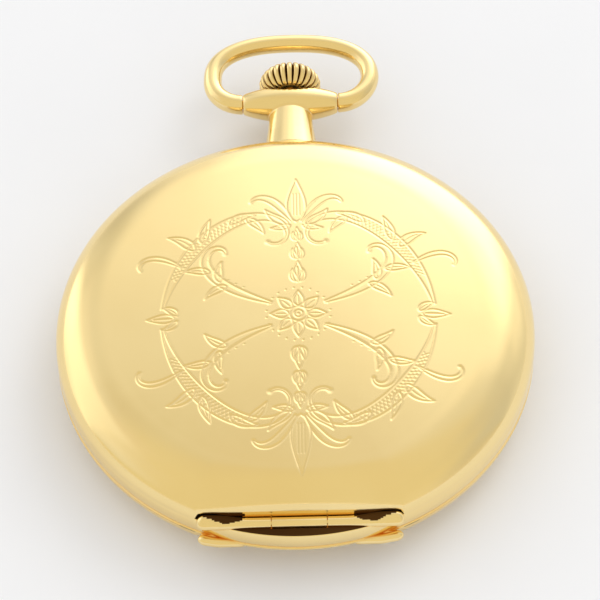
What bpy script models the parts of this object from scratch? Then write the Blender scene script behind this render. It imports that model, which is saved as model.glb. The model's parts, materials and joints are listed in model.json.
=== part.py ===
"""Hunter pocket watch, keyless, with a stem-wound lever movement.

Axes: the case axis is Z, the pendant and crown point to +Y, the front lid faces +Z.
The watch lies on the flat disc in the middle of its rear cover, which is the plane Z = 0.
In the hunter layout 3 o'clock is at +Y, 12 at -X, the small seconds at +X and the hinges at -Y.
Lengths below are in millimetres; the objects are made in metres.
Endings of names: _R radius, _Z0 and _Z1 lower and upper z, _M gear module, _T tooth count.
"""
import math

import bmesh
import bpy
from mathutils import Matrix, Vector

MILLIMETRE = 0.001
WELD = 0.002             # vertices closer than this are merged
SHARP_ANGLE = math.radians(32)

# ---------------------------------------------------------------- case
CASE_R = 26.0            # outer radius of band and covers
CASE_SEG = 40            # facets around the case
BAND_Z0, BAND_Z1 = 4.75, 7.10
BAND_BORE = 21.80
BAND_CHAMFER_R, BAND_CHAMFER_H = 0.15, 0.3
LIP_R0, LIP_R1, LIP_H = 24.50, 25.05, 0.35
SEAM = 0.05              # joint gap between a cover and the band
TOP_Z = 12.2             # crown of the front lid's dome
REST_R = 12.0            # flat resting disc under the rear cover
WALL = 0.60
RIM_WALL = 0.75          # wall of a cover at its edge
SHOULDER_REACH = 6.9     # radial reach of a cover's rolled shoulder
SHOULDER_END = math.radians(78.9)
FRONT_SHOULDER_H, REAR_SHOULDER_H = 3.95, 4.10
CHORD_DIST = 23.55       # from the axis to the straight rim of a cover beside the hinge
DRAW_START_R = 15.0      # a cover is drawn in towards the chord outside this radius

# ---------------------------------------------------------------- hinges
HINGE_Y = -24.2
HINGE_R = 0.60
HINGE_HALF = 10.5
KNUCKLE_HALF = 2.9       # middle knuckle, on the cover
CUVETTE_KNUCKLE = (3.0, 5.2)   # near and far |x| of the inner cover's knuckles
KNUCKLE_SEG, HOLE_SEG = 16, 12
PIN_R, PIN_BORE = 0.25, 0.31
FRONT_AXIS_Z = BAND_Z1 + 0.02
REAR_AXIS_Z = BAND_Z0 - 0.02
BAND_GAP = 0.06          # straps and springs keep this far off the band

# ---------------------------------------------------------------- pendant, bow, crown and stem
STEM_Z = 0.5 * (BAND_Z0 + BAND_Z1) - 0.025
STEM_R = 0.60
STEM_NECK_R = 0.35
STEM_BORE = STEM_R + 0.06
NECK_Y0, NECK_Y1 = 26.07, 31.2
NECK_R0, NECK_R1 = 2.98, 2.38
NECK_ROOT_Y, NECK_END_Y = 25.2, 32.5
NECK_FLAT = 0.68         # the neck is oval: its height over its width
HEAD_Y = 33.1
HEAD_R_MID, HEAD_R_END, HEAD_HALF = 2.15, 1.07, 5.45
HEAD_POWER, HEAD_STEPS = 0.6, 8
SADDLE_R, SADDLE_Y = 3.80, 33.55
PENDANT_BORE, PENDANT_BORE_Y = 1.30, 27.2
SPIGOT_R, SPIGOT_BORE = 1.10, 0.72
BOW_R, BOW_SEG = 1.05, 12
BOW_END_X = 5.50
BOW_HALF_W, BOW_WIDE_Y, BOW_TOP_Y = 9.05, 36.8, 42.2
BOW_POWER = 2.25         # exponent of the superellipse at the top of the bow
BOW_SPLIT = 0.3          # share of the half centreline below the widest point
BOW_STATIONS = (0.0, 0.075, 0.15, 0.225, 0.3, 0.39, 0.48, 0.57, 0.66, 0.75, 0.84, 0.92)
BOW_PIN_R, BOW_PIN_BORE, BOW_PIN_X = 0.50, 0.56, 4.5
CROWN_R, CROWN_Y0, CROWN_Y1 = 3.57, 34.25, 37.6
CROWN_FLUTES = 26

# ---------------------------------------------------------------- dial side
PLATE_R, PLATE_Z0, PLATE_Z1 = 21.6, 5.90, 7.30
DIAL_R, DIAL_Z0, DIAL_Z1 = 21.2, 7.95, 8.30
MOTION_Z0, MOTION_Z1 = 7.45, 7.60
MINUTES, SECONDS = 9.0, 35.0   # time shown by the hands
HOURS = 10 + MINUTES / 60

# ---------------------------------------------------------------- train
BARREL_M, BARREL_T, CENTRE_LEAVES = 0.225, 80, 10
CENTRE_M, CENTRE_T, THIRD_LEAVES = 0.225, 64, 8
THIRD_M, THIRD_T, FOURTH_LEAVES = 0.190, 60, 8
FOURTH_M, FOURTH_T, ESCAPE_LEAVES = 0.145, 70, 7
ESCAPE_R, ESCAPE_T, ESCAPE_DEPTH = 3.4, 15, 0.8
RATCHET_T, CROWN_WHEEL_T, WINDING_T = 52, 36, 18
CANNON_T, MINUTE_T, MINUTE_LEAVES, HOUR_T, SETTING_T = 12, 36, 10, 40, 18
MINUTE_M = 0.239
FINE_TEETH = 56          # wheels with more teeth than this are plain discs
TOOTH_GAP = 0.015        # tips stop this far inside the pitch circle
WHEEL_BAR = 0.55         # width of a wheel's arms
WINDING_Z0, WINDING_Z1, WINDING_DEPTH = 3.02, 3.40, 0.35   # ratchet and crown wheel
LEVER_PLANE = (5.30, 5.44)   # escape wheel and pallet fork

# ---------------------------------------------------------------- bridges, balance and screws
BRIDGE_R, BRIDGE_Z0, BRIDGE_Z1 = 20.2, 3.45, 4.20
COCK_R, COCK_Z0, COCK_Z1 = 2.5, 3.0, 3.85
FOOT_R, COCK_FOOT_R = 1.25, 2.1
FOOT_Z1 = PLATE_Z0 - 0.03
PIVOT_HOLE, PIVOT_R = 0.2, 0.12
SCREW_BORE, SCREW_SHANK = 0.42, 0.36
BALANCE_R, BALANCE_RIM_R = 7.5, 6.72
COIL_STEPS = 12          # steps in one turn of a spiral spring


def pitch(module, teeth):
    return 0.5 * module * teeth


def meet(first, first_reach, second, second_reach, side):
    """Point at the given reaches from two centres, left (+1) or right (-1) of first -> second."""
    first, second = Vector(first), Vector(second)
    dist = (second - first).length
    along = (first_reach * first_reach - second_reach * second_reach + dist * dist) / (2 * dist)
    off = math.sqrt(first_reach * first_reach - along * along)
    ahead = (second - first) / dist
    return first + along * ahead + side * off * Vector((-ahead.y, ahead.x))


def polar(radius, degrees, centre=(0, 0)):
    angle = math.radians(degrees)
    return Vector((centre[0] + radius * math.cos(angle), centre[1] + radius * math.sin(angle)))


def heading(direction):
    return math.degrees(math.atan2(direction.y, direction.x))


# Places in the XY plane.
CENTRE = Vector((0.0, 0.0))
BARREL = polar(pitch(BARREL_M, BARREL_T + CENTRE_LEAVES), 155)
FOURTH = Vector((9.4, 0.0))
THIRD = meet(CENTRE, pitch(CENTRE_M, CENTRE_T + THIRD_LEAVES),
             FOURTH, pitch(THIRD_M, THIRD_T + FOURTH_LEAVES), 1)
ESCAPE = polar(pitch(FOURTH_M, FOURTH_T + ESCAPE_LEAVES), -80, FOURTH)
BALANCE = Vector((1.0, -12.2))
TO_BALANCE = (BALANCE - ESCAPE).normalized()
PALLET = ESCAPE + 4.6 * TO_BALANCE
CROWN_WHEEL = Vector((0.0, 13.0))
RATCHET_M = 2 * (CROWN_WHEEL - BARREL).length / (RATCHET_T + CROWN_WHEEL_T)
SETTING = Vector((0.0, 12.0))
SETTING_SLACK = 0.1
MINUTE = meet(CENTRE, pitch(MINUTE_M, MINUTE_T + CANNON_T),
              SETTING, pitch(MINUTE_M, MINUTE_T + SETTING_T) + SETTING_SLACK, -1)
HOUR_M = 2 * (MINUTE - CENTRE).length / (HOUR_T + MINUTE_LEAVES)
CLICK = Vector((-12.2, -4.0))
COCK_FOOT = Vector((-10.0, -14.0))
YOKE, YOKE_TIP = Vector((-5.4, 15.42)), Vector((-0.9, 15.42))
SETTING_LEVER, SETTING_LEVER_TIP = Vector((-4.9, 19.4)), Vector((0.0, 19.4))
BARREL_FEET = [polar(18.6, angle) for angle in (115, 200)]
TRAIN_FEET = [polar(18.6, angle) for angle in (-20, 35)]
CASE_SCREWS = [polar(20.8, angle) for angle in (214, 316)]

# ---------------------------------------------------------------- materials
FINISHES = {             # base colour, roughness, metallic
    "gold": ((0.87, 0.66, 0.30), 0.18, 1.0),
    "nickel": ((0.72, 0.70, 0.66), 0.30, 1.0),
    "brass": ((0.78, 0.58, 0.26), 0.30, 1.0),
    "steel": ((0.55, 0.56, 0.58), 0.25, 1.0),
    "blued": ((0.05, 0.09, 0.30), 0.22, 1.0),
    "enamel": ((0.93, 0.92, 0.88), 0.15, 0.0),
    "glass": ((0.92, 0.95, 0.96), 0.03, 0.0),
}
GLASS_ALPHA = 0.35


def finish(name, kind):
    material = bpy.data.materials.new(name)
    material.use_nodes = True
    inputs = material.node_tree.nodes["Principled BSDF"].inputs
    colour, roughness, metallic = FINISHES[kind]
    inputs["Base Color"].default_value = (*colour, 1.0)
    inputs["Roughness"].default_value = roughness
    inputs["Metallic"].default_value = metallic
    if kind == "glass":
        inputs["Alpha"].default_value = GLASS_ALPHA
    return material


# ---------------------------------------------------------------- solids
def close(solid):
    bmesh.ops.remove_doubles(solid, verts=solid.verts, dist=WELD)
    bmesh.ops.recalc_face_normals(solid, faces=solid.faces)
    return solid


def turned(profile, seg, centre=(0, 0), warp=None, turn=0.0):
    """Solid of revolution about Z from a closed profile of (radius, z); radius 0 is a pole.

    warp maps (radius, azimuth) to a new radius; turn shifts the facets by a share of one.
    """
    solid = bmesh.new()
    rings = []
    for radius, z in profile:
        if radius < 1e-6:
            rings.append([solid.verts.new((centre[0], centre[1], z))])
            continue
        ring = []
        for i in range(seg):
            angle = 2 * math.pi * (i + turn) / seg
            reach = warp(radius, angle) if warp else radius
            ring.append(solid.verts.new((centre[0] + reach * math.cos(angle),
                                         centre[1] + reach * math.sin(angle), z)))
        rings.append(ring)
    for near, far in zip(rings, rings[1:] + rings[:1]):
        if len(near) == 1 and len(far) == 1:
            continue
        for i in range(seg):
            j = (i + 1) % seg
            corners = [near[0]] if len(near) == 1 else [near[i], near[j]]
            corners += [far[0]] if len(far) == 1 else [far[j], far[i]]
            solid.faces.new(corners)
    return close(solid)


def cylinder(radius, z0, z1, seg, centre=(0, 0), turn=0.0):
    return turned([(0, z0), (radius, z0), (radius, z1), (0, z1)], seg, centre, turn=turn)


def collar(bore, radius, z0, z1, seg, centre=(0, 0)):
    return turned([(bore, z0), (radius, z0), (radius, z1), (bore, z1)], seg, centre)


def stacked(centre, steps, seg=10):
    """Turned arbor: steps are (z, radius), each radius held until the next z."""
    profile = [(0, steps[0][0])]
    for (z, radius), (next_z, _) in zip(steps[:-1], steps[1:]):
        profile += [(radius, z), (radius, next_z)]
    profile.append((0, steps[-1][0]))
    return turned(profile, seg, centre)


def prism(loops, z0, z1):
    """Flat plate between z0 and z1: the first loop is its outline, the others are holes."""
    flat = bmesh.new()
    for loop in loops:
        verts = [flat.verts.new((point[0], point[1], 0)) for point in loop]
        for i in range(len(verts)):
            flat.edges.new((verts[i], verts[(i + 1) % len(verts)]))
    bmesh.ops.triangle_fill(flat, use_beauty=True, edges=flat.edges[:], normal=(0, 0, 1))
    flat.verts.index_update()
    solid = bmesh.new()
    low = [solid.verts.new((vert.co.x, vert.co.y, z0)) for vert in flat.verts]
    high = [solid.verts.new((vert.co.x, vert.co.y, z1)) for vert in flat.verts]
    for face in flat.faces:
        ids = [vert.index for vert in face.verts]
        if face.normal.z < 0:
            ids.reverse()
        solid.faces.new([high[i] for i in ids])
        solid.faces.new([low[i] for i in reversed(ids)])
    for edge in flat.edges:
        if len(edge.link_faces) == 1:
            i, j = edge.verts[0].index, edge.verts[1].index
            solid.faces.new((low[i], low[j], high[j], high[i]))
    flat.free()
    return close(solid)


def box(x0, x1, y0, y1, z0, z1):
    return prism([[(x0, y0), (x1, y0), (x1, y1), (x0, y1)]], z0, z1)


def lofted(sections):
    """Skin through equal closed sections of (x, y, z) points, capped at both ends."""
    solid = bmesh.new()
    rings = [[solid.verts.new(point) for point in section] for section in sections]
    for near, far in zip(rings[:-1], rings[1:]):
        for i in range(len(near)):
            j = (i + 1) % len(near)
            solid.faces.new((near[i], near[j], far[j], far[i]))
    solid.faces.new(rings[0][::-1])
    solid.faces.new(rings[-1])
    return close(solid)


def coil(centre, r0, r1, turns, width, z0, z1, start=0.0):
    """Flat spiral strip standing between z0 and z1."""
    count = turns * COIL_STEPS
    sections = []
    for i in range(count + 1):
        angle = start + 360.0 * turns * i / count
        radius = r0 + (r1 - r0) * i / count
        inner = polar(radius - width / 2, angle, centre)
        outer = polar(radius + width / 2, angle, centre)
        sections.append([(*inner, z0), (*outer, z0), (*outer, z1), (*inner, z1)])
    return lofted(sections)


def joined(target, tool, how):
    """Exact Boolean of two closed meshes, which are used up."""
    objects = []
    for solid in (target, tool):
        mesh = bpy.data.meshes.new("work")
        solid.to_mesh(mesh)
        solid.free()
        work = bpy.data.objects.new("work", mesh)
        bpy.context.scene.collection.objects.link(work)
        objects.append(work)
    modifier = objects[0].modifiers.new("cut", "BOOLEAN")
    modifier.operation = how
    modifier.solver = "EXACT"
    modifier.object = objects[1]
    bpy.context.view_layer.update()
    evaluated = objects[0].evaluated_get(bpy.context.evaluated_depsgraph_get())
    result = bmesh.new()
    result.from_mesh(evaluated.to_mesh())
    evaluated.to_mesh_clear()
    for work in objects:
        mesh = work.data
        bpy.data.objects.remove(work)
        bpy.data.meshes.remove(mesh)
    bmesh.ops.triangulate(result, faces=[face for face in result.faces if len(face.verts) > 4])
    bmesh.ops.dissolve_degenerate(result, dist=WELD, edges=result.edges[:])
    return close(result)


def cut(solid, *tools):
    for tool in tools:
        solid = joined(solid, tool, "DIFFERENCE")
    return solid


def add(solid, *others):
    for other in others:
        solid = joined(solid, other, "UNION")
    return solid


def rod(radius, x0, x1, y, z, seg=HOLE_SEG):
    """Cylinder along X."""
    return laid_along_x(cylinder(radius, x0, x1, seg), y, z)


def laid_along_x(solid, y, z):
    """Lays a solid made about Z along X, through (y, z)."""
    solid.transform(Matrix.Translation((0, y, z)) @ Matrix.Rotation(math.pi / 2, 4, "Y"))
    return solid


def laid_on_stem(solid):
    """Lays a solid made about Z along +Y, on the axis of the stem."""
    solid.transform(Matrix.Translation((0, 0, STEM_Z)) @ Matrix.Rotation(-math.pi / 2, 4, "X"))
    return solid


# ---------------------------------------------------------------- outlines
def arc(radius, start, sweep, steps, centre=(0, 0)):
    return [polar(radius, start + sweep * i / steps, centre) for i in range(steps + 1)]


def round_loop(centre, radius, count):
    return [polar(radius, 360.0 * i / count, centre) for i in range(count)]


def in_frame(origin, along, points):
    """Points given as (distance along a direction, distance to its left) from an origin."""
    left = Vector((-along.y, along.x))
    return [origin + ahead * along + aside * left for ahead, aside in points]


def toothed(centre, tip_r, teeth, depth):
    """Outline of a toothed wheel with two points a tooth; fine teeth become a plain disc."""
    tip = tip_r - TOOTH_GAP
    if teeth > FINE_TEETH:
        return round_loop(centre, tip, 32)
    points = []
    for i in range(teeth):
        points.append(polar(tip, 360.0 * i / teeth, centre))
        points.append(polar(tip - depth, 360.0 * (i + 0.5) / teeth, centre))
    return points


def gear(centre, module, teeth, depth=None):
    """Toothed outline whose tips reach the pitch circle."""
    return toothed(centre, pitch(module, teeth), teeth, depth or 1.5 * module)


def crossings(centre, r0, r1, arms, bar, start=0.0, steps=4):
    """The openings between the arms of a crossed-out wheel."""
    half_in, half_out = math.degrees(bar / r0 / 2), math.degrees(bar / r1 / 2)
    loops = []
    for i in range(arms):
        first, last = start + 360.0 * i / arms, start + 360.0 * (i + 1) / arms
        loops.append(arc(r1, first + half_out, last - first - 2 * half_out, steps, centre)
                     + arc(r0, last - half_in, -(last - first - 2 * half_in), 2, centre))
    return loops


def part(name, solid, kind, pivot=(0, 0, 0)):
    """Makes the named object and puts its origin on its pivot."""
    solid.transform(Matrix.Translation(-Vector(pivot)))
    solid.transform(Matrix.Scale(MILLIMETRE, 4))
    mesh = bpy.data.meshes.new(name)
    solid.to_mesh(mesh)
    solid.free()
    mesh.materials.append(finish("mat_" + name, kind))
    mesh.shade_smooth()
    mesh.set_sharp_from_angle(angle=SHARP_ANGLE)
    made = bpy.data.objects.new(name, mesh)
    made.location = Vector(pivot) * MILLIMETRE
    bpy.context.scene.collection.objects.link(made)


def spot(place, z=5.0):
    """Origin at height z over a place in the plane."""
    return (place[0], place[1], z)


def x_span(side, near, far):
    """Ordered x range between two distances on one side (-1 or +1)."""
    return sorted((side * near, side * far))


# ---------------------------------------------------------------- covers
def drawn_in(radius, angle):
    """Pulls a cover's outer part in, so that its rim runs straight beside the hinge."""
    toward_hinge = -math.sin(angle)
    rim = min(CASE_R, CHORD_DIST / toward_hinge) if toward_hinge > 0.5 else CASE_R
    share = max(0.0, (radius - DRAW_START_R) / (CASE_R - DRAW_START_R))
    return radius - (CASE_R - rim) * share * share


def cover_profile(edge_z, up, shoulder_h, apex, flat_r):
    """Closed profile of a cover shell, rising by apex from its edge towards up (+1 or -1) in z."""
    def shoulder(reach, height, share):
        angle = SHOULDER_END * share
        return (CASE_R - SHOULDER_REACH + reach * math.cos(angle), height * math.sin(angle))

    outer = [shoulder(SHOULDER_REACH, shoulder_h, share) for share in (0, 0.25, 0.5, 0.75, 1.0)]
    dome_r, dome_h = outer[-1]
    mid = 0.55           # share of the dome's radius at its one middle station
    outer.append((flat_r + (dome_r - flat_r) * mid, apex - (apex - dome_h) * mid ** 2))
    inner = [(0, apex - WALL)]
    if flat_r > 0:
        outer.append((flat_r, apex))
        inner.append((flat_r, apex - WALL))
    outer.append((0, apex))
    inner += [shoulder(SHOULDER_REACH - RIM_WALL, shoulder_h - WALL, share)
              for share in (1.0, 0.6, 0.25, 0)]
    return [(radius, edge_z + up * height) for radius, height in outer + inner]


def hinge_rod(radius, x0, x1, axis_z, seg=KNUCKLE_SEG):
    return rod(radius, x0, x1, HINGE_Y, axis_z, seg)


def with_middle_knuckle(cover, strap_z0, strap_z1, axis_z):
    """Adds a cover's middle knuckle and its strap, and bores them for the pin."""
    half = KNUCKLE_HALF
    cover = add(cover,
                box(-half + 0.02, half - 0.02, HINGE_Y - 0.1, -CHORD_DIST + 0.35,
                    strap_z0, strap_z1),
                hinge_rod(HINGE_R, -half, half, axis_z))
    return cut(cover, hinge_rod(PIN_BORE, -half - 1, half + 1, axis_z, HOLE_SEG))


def front_lid():
    edge_z = BAND_Z1 + SEAM
    lid = turned(cover_profile(edge_z, 1, FRONT_SHOULDER_H, TOP_Z - BAND_Z1 - SEAM, 0.0),
                 CASE_SEG, warp=drawn_in)
    lid = with_middle_knuckle(lid, BAND_Z1 + BAND_GAP, BAND_Z1 + 0.5, FRONT_AXIS_Z)
    part("front_lid", lid, "gold", (0, HINGE_Y, FRONT_AXIS_Z))


def rear_cover():
    edge_z = BAND_Z0 - SEAM
    cover = turned(cover_profile(edge_z, -1, REAR_SHOULDER_H, edge_z, REST_R),
                   CASE_SEG, warp=drawn_in)
    near, far = CUVETTE_KNUCKLE
    gap = 0.07           # notch clearance beside the cuvette's knuckles
    for side in (-1, 1):
        cover = cut(cover, box(*x_span(side, near - gap, far + gap),
                               -CHORD_DIST - 0.4, -CHORD_DIST + 1.6,
                               BAND_Z0 - 0.72, BAND_Z0 + 0.1))
    cover = with_middle_knuckle(cover, BAND_Z0 - 0.5, BAND_Z0 - BAND_GAP, REAR_AXIS_Z)
    part("rear_cover", cover, "gold", (0, HINGE_Y, REAR_AXIS_Z))


def cuvette():
    """Inner cover, between the rear cover and the movement."""
    shell = turned([(0, 1.95), (20.6, 1.95), (21.6, 2.5), (21.6, 4.6),
                    (21.2, 4.6), (21.2, 2.65), (20.4, 2.3), (0, 2.3)], 32)
    for side in (-1, 1):
        x0, x1 = x_span(side, *CUVETTE_KNUCKLE)
        shell = add(shell,
                    box(x0, x1, HINGE_Y + 0.1, -21.0, BAND_Z0 - 0.6, BAND_Z0 - 0.16),
                    hinge_rod(HINGE_R - 0.04, x0, x1, REAR_AXIS_Z))
        shell = cut(shell, hinge_rod(PIN_BORE, x0 - 0.5, x1 + 0.5, REAR_AXIS_Z, HOLE_SEG))
    part("cuvette", shell, "gold", (0, HINGE_Y, REAR_AXIS_Z))


# ---------------------------------------------------------------- band
def case_band():
    chamfer_r = CASE_R - BAND_CHAMFER_R
    band = turned([(BAND_BORE, BAND_Z0), (LIP_R0, BAND_Z0),
                   (LIP_R0, BAND_Z0 - LIP_H), (LIP_R1, BAND_Z0 - LIP_H),
                   (LIP_R1, BAND_Z0), (chamfer_r, BAND_Z0),
                   (CASE_R, BAND_Z0 + BAND_CHAMFER_H), (CASE_R, BAND_Z1 - BAND_CHAMFER_H),
                   (chamfer_r, BAND_Z1), (LIP_R1, BAND_Z1),
                   (LIP_R1, BAND_Z1 + LIP_H), (LIP_R0, BAND_Z1 + LIP_H),
                   (LIP_R0, BAND_Z1), (BAND_BORE, BAND_Z1)], CASE_SEG)
    # The lips stop short of the hinges.
    for z0, z1 in ((BAND_Z1 - 0.03, BAND_Z1 + 1), (BAND_Z0 - 1, BAND_Z0 + 0.03)):
        band = cut(band, box(-13, 13, -26.5, -21.0, z0, z1))
    hinges = ((FRONT_AXIS_Z, KNUCKLE_HALF), (REAR_AXIS_Z, CUVETTE_KNUCKLE[1]))
    for side in (-1, 1):
        for axis_z, inner_x in hinges:
            x0, x1 = x_span(side, inner_x, HINGE_HALF)
            band = add(band, hinge_rod(HINGE_R, x0, x1, axis_z))
    for axis_z, inner_x in hinges:
        half = inner_x + 0.1
        band = cut(band, hinge_rod(HINGE_R + 0.07, -half, half, axis_z))
    for axis_z, _ in hinges:
        band = cut(band, hinge_rod(PIN_BORE, -12, 12, axis_z, HOLE_SEG))
    band = cut(band, laid_on_stem(cylinder(SPIGOT_R + 0.05, 21, 27, 16, turn=0.5)))
    for place in CASE_SCREWS:
        band = cut(band, cylinder(1.45, 4.4, 5.88, 14, place))
    part("case_band", band, "gold")


def hinge_pins():
    half = HINGE_HALF - 0.1
    for name, axis_z in (("front_hinge_pin", FRONT_AXIS_Z), ("rear_hinge_pin", REAR_AXIS_Z)):
        part(name, hinge_rod(PIN_R, -half, half, axis_z, 10), "gold")


# ---------------------------------------------------------------- pendant and bow
def pendant():
    """Oval neck, cross-wise spindle head, and a spigot into the band."""
    neck = laid_on_stem(turned([(0, NECK_ROOT_Y), (NECK_R0, NECK_ROOT_Y), (NECK_R0, NECK_Y0),
                                (0.5 * (NECK_R0 + NECK_R1) - 0.05, 29.0), (NECK_R1, NECK_Y1),
                                (NECK_R1 - 0.1, NECK_END_Y), (0, NECK_END_Y)], 20))
    neck.transform(Matrix.Translation((0, 0, STEM_Z))
                   @ Matrix.Diagonal((1, 1, NECK_FLAT, 1))
                   @ Matrix.Translation((0, 0, -STEM_Z)))
    spindle = []
    for i in range(HEAD_STEPS + 1):
        x = -HEAD_HALF + 2 * HEAD_HALF * i / HEAD_STEPS
        swell = max(0.0, math.cos(math.pi / 2 * x / HEAD_HALF)) ** HEAD_POWER
        spindle.append((HEAD_R_END + (HEAD_R_MID - HEAD_R_END) * swell, x))
    head = turned([(0, -HEAD_HALF)] + spindle + [(0, HEAD_HALF)], 16)
    body = cut(neck, cylinder(NECK_Y0, -2, 14, 90))    # seat against the round case
    body = add(body, laid_along_x(head, HEAD_Y, STEM_Z),
               laid_on_stem(cylinder(SPIGOT_R, 24.6, 27.5, 16)))
    saddle = turned([(0, SADDLE_Y), (2.4, SADDLE_Y + 0.05), (3.3, SADDLE_Y + 0.45),
                     (SADDLE_R, SADDLE_Y + 1.15), (SADDLE_R, 40), (0, 40)], 32)
    bore = turned([(0, 20), (SPIGOT_BORE, 20), (SPIGOT_BORE, PENDANT_BORE_Y),
                   (PENDANT_BORE, PENDANT_BORE_Y), (PENDANT_BORE, 36), (0, 36)], 16)
    body = cut(body, laid_on_stem(saddle), laid_on_stem(bore))
    for side in (-1, 1):
        x0, x1 = x_span(side, BOW_PIN_X - 0.1, 8)
        body = cut(body, rod(BOW_PIN_BORE, x0, x1, HEAD_Y, STEM_Z))
    part("pendant", body, "gold")


def bow_centre(share):
    """Point on the bow's half centreline, from 0 at the pendant to 1 at the top."""
    if share < BOW_SPLIT:
        angle = math.pi / 2 * (share / BOW_SPLIT)
        return (BOW_END_X + (BOW_HALF_W - BOW_END_X) * math.sin(angle),
                BOW_WIDE_Y - (BOW_WIDE_Y - HEAD_Y) * math.cos(angle))
    angle = math.pi / 2 * (share - BOW_SPLIT) / (1 - BOW_SPLIT)
    return (BOW_HALF_W * math.cos(angle) ** (2 / BOW_POWER),
            BOW_WIDE_Y + (BOW_TOP_Y - BOW_WIDE_Y) * math.sin(angle) ** (2 / BOW_POWER))


def bow():
    half = [bow_centre(share) for share in BOW_STATIONS]
    path = [(-x, y) for x, y in half] + [(0.0, BOW_TOP_Y)] + half[::-1]
    sections = []
    for k, (x, y) in enumerate(path):
        if 0 < k < len(path) - 1:
            ahead = (Vector(path[k + 1]) - Vector(path[k - 1])).normalized()
        else:
            ahead = Vector((-1.0, 0.0))    # both ends face the pendant's head squarely
        section = []
        for i in range(BOW_SEG):
            angle = 2 * math.pi * i / BOW_SEG
            out = BOW_R * math.cos(angle)
            section.append((x - out * ahead.y, y + out * ahead.x,
                            STEM_Z + BOW_R * math.sin(angle)))
        sections.append(section)
    loop = lofted(sections)
    for side in (-1, 1):
        x0, x1 = x_span(side, BOW_PIN_X, BOW_END_X + 0.5)
        loop = add(loop, rod(BOW_PIN_R, x0, x1, HEAD_Y, STEM_Z))
    part("bow", loop, "gold", (0, HEAD_Y, STEM_Z))


# ---------------------------------------------------------------- crown and stem
def crown():
    # y, outer radius, flute depth
    stations = ((CROWN_Y0, 2.35, 0.2), (35.0, 3.35, 0.3), (35.6, CROWN_R, 0.32),
                (36.5, 3.35, 0.3), (37.2, 2.6, 0.2), (CROWN_Y1, 1.3, 0.05))
    sections = []
    for y, radius, depth in stations:
        section = []
        for i in range(2 * CROWN_FLUTES):
            reach = radius - depth * (i % 2)
            angle = math.pi * i / CROWN_FLUTES
            section.append((reach * math.cos(angle), reach * math.sin(angle), y))
        sections.append(section)
    knob = add(lofted(sections), cylinder(1.15, 33.65, CROWN_Y0 + 0.5, 16))
    knob = cut(knob, cylinder(STEM_BORE, 33, 37.3, 12))
    part("crown", laid_on_stem(knob), "gold", (0, CROWN_Y0, STEM_Z))


def stem_work():
    """Winding stem and the pieces that ride on it."""
    stem = turned([(0, 12.9), (STEM_NECK_R, 12.9), (STEM_NECK_R, 13.8), (STEM_R, 13.8),
                   (STEM_R, 19.1), (STEM_NECK_R, 19.1), (STEM_NECK_R, 19.7),
                   (STEM_R, 19.7), (STEM_R, 36.6), (0, 36.6)], 12)
    sleeve = collar(0.72, 1.22, 27.9, 33.5, 14)
    winding = cut(prism([toothed((0, 0), 1.85, WINDING_T, 0.4)], 16.3, 17.9),
                  cylinder(STEM_BORE, 16, 18.5, 12))
    flange_r, groove_r = 1.5, 1.05
    sliding = turned([(STEM_BORE, 14.7), (flange_r, 14.7), (flange_r, 15.15),
                      (groove_r, 15.15), (groove_r, 15.7), (flange_r, 15.7),
                      (flange_r, 16.1), (STEM_BORE, 16.1)], 16)
    for name, solid, pivot_y in (("winding_stem", stem, 20), ("release_sleeve", sleeve, 30),
                                 ("winding_pinion", winding, 17),
                                 ("sliding_pinion", sliding, 15.4)):
        part(name, laid_on_stem(solid), "steel", (0, pivot_y, STEM_Z))


def lid_catch():
    part("lid_catch", box(-2.0, 2.0, 23.2, 24.1, BAND_Z1 + BAND_GAP, BAND_Z1 + 0.8),
         "steel", (0, 23.6, BAND_Z1))


def lid_lift_spring():
    outline = arc(23.15, 200, 46, 8) + arc(23.55, 246, -46, 8)
    part("lid_lift_spring", prism([outline], BAND_Z1 + BAND_GAP, BAND_Z1 + 0.5), "steel")


# ---------------------------------------------------------------- glass, bezel and dial
def bezel():
    part("bezel", turned([(21.75, 7.16), (22.9, 7.16), (22.9, 7.7), (22.3, 8.7),
                          (21.2, 9.28), (20.6, 9.28), (20.6, 9.0), (21.75, 8.5)], 32), "gold")


def crystal():
    part("crystal", turned([(0, 9.35), (16, 9.3), (19.6, 9.0), (20.5, 8.95),
                            (20.5, 9.25), (17.5, 9.68), (0, 9.8)], 28), "glass")


def dial():
    loops = [round_loop(CENTRE, DIAL_R, 32), round_loop(CENTRE, 1.15, 12),
             round_loop(FOURTH, 0.4, 8)]
    part("dial", prism(loops, DIAL_Z0, DIAL_Z1), "enamel")


def hand(turns, reach, tail, half, hub, hole, centre, z0, z1):
    """Pointer at a share of a turn from 12, with a round hub and a spade towards its tip."""
    edge = [(-tail, half * 1.6), (-hub * 0.8, half), (hub * 0.8, half), (reach * 0.58, half),
            (reach * 0.68, half * 3.0), (reach * 0.76, half * 3.0), (reach * 0.84, half),
            (reach, half * 0.4)]
    outline = edge + [(ahead, -aside) for ahead, aside in edge[::-1]]
    blade = prism([in_frame(centre, polar(1, 180.0 - 360.0 * turns), outline)], z0, z1)
    return cut(add(blade, cylinder(hub, z0, z1, 14, centre)),
               cylinder(hole, z0 - 1, z1 + 1, 12, centre))


def hands():
    hour = hand(HOURS / 12, reach=10.6, tail=1.8, half=0.28, hub=1.45, hole=1.0,
                centre=CENTRE, z0=8.62, z1=8.78)
    minute = hand(MINUTES / 60, reach=15.6, tail=2.2, half=0.22, hub=1.15, hole=0.70,
                  centre=CENTRE, z0=8.9, z1=9.06)
    seconds = hand(SECONDS / 60, reach=4.2, tail=1.3, half=0.07, hub=0.45, hole=0.24,
                   centre=FOURTH, z0=8.4, z1=8.5)
    part("hour_hand", hour, "blued", spot(CENTRE, 8.7))
    part("minute_hand", minute, "blued", spot(CENTRE, 9.0))
    part("seconds_hand", seconds, "blued", spot(FOURTH, 8.45))


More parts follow.
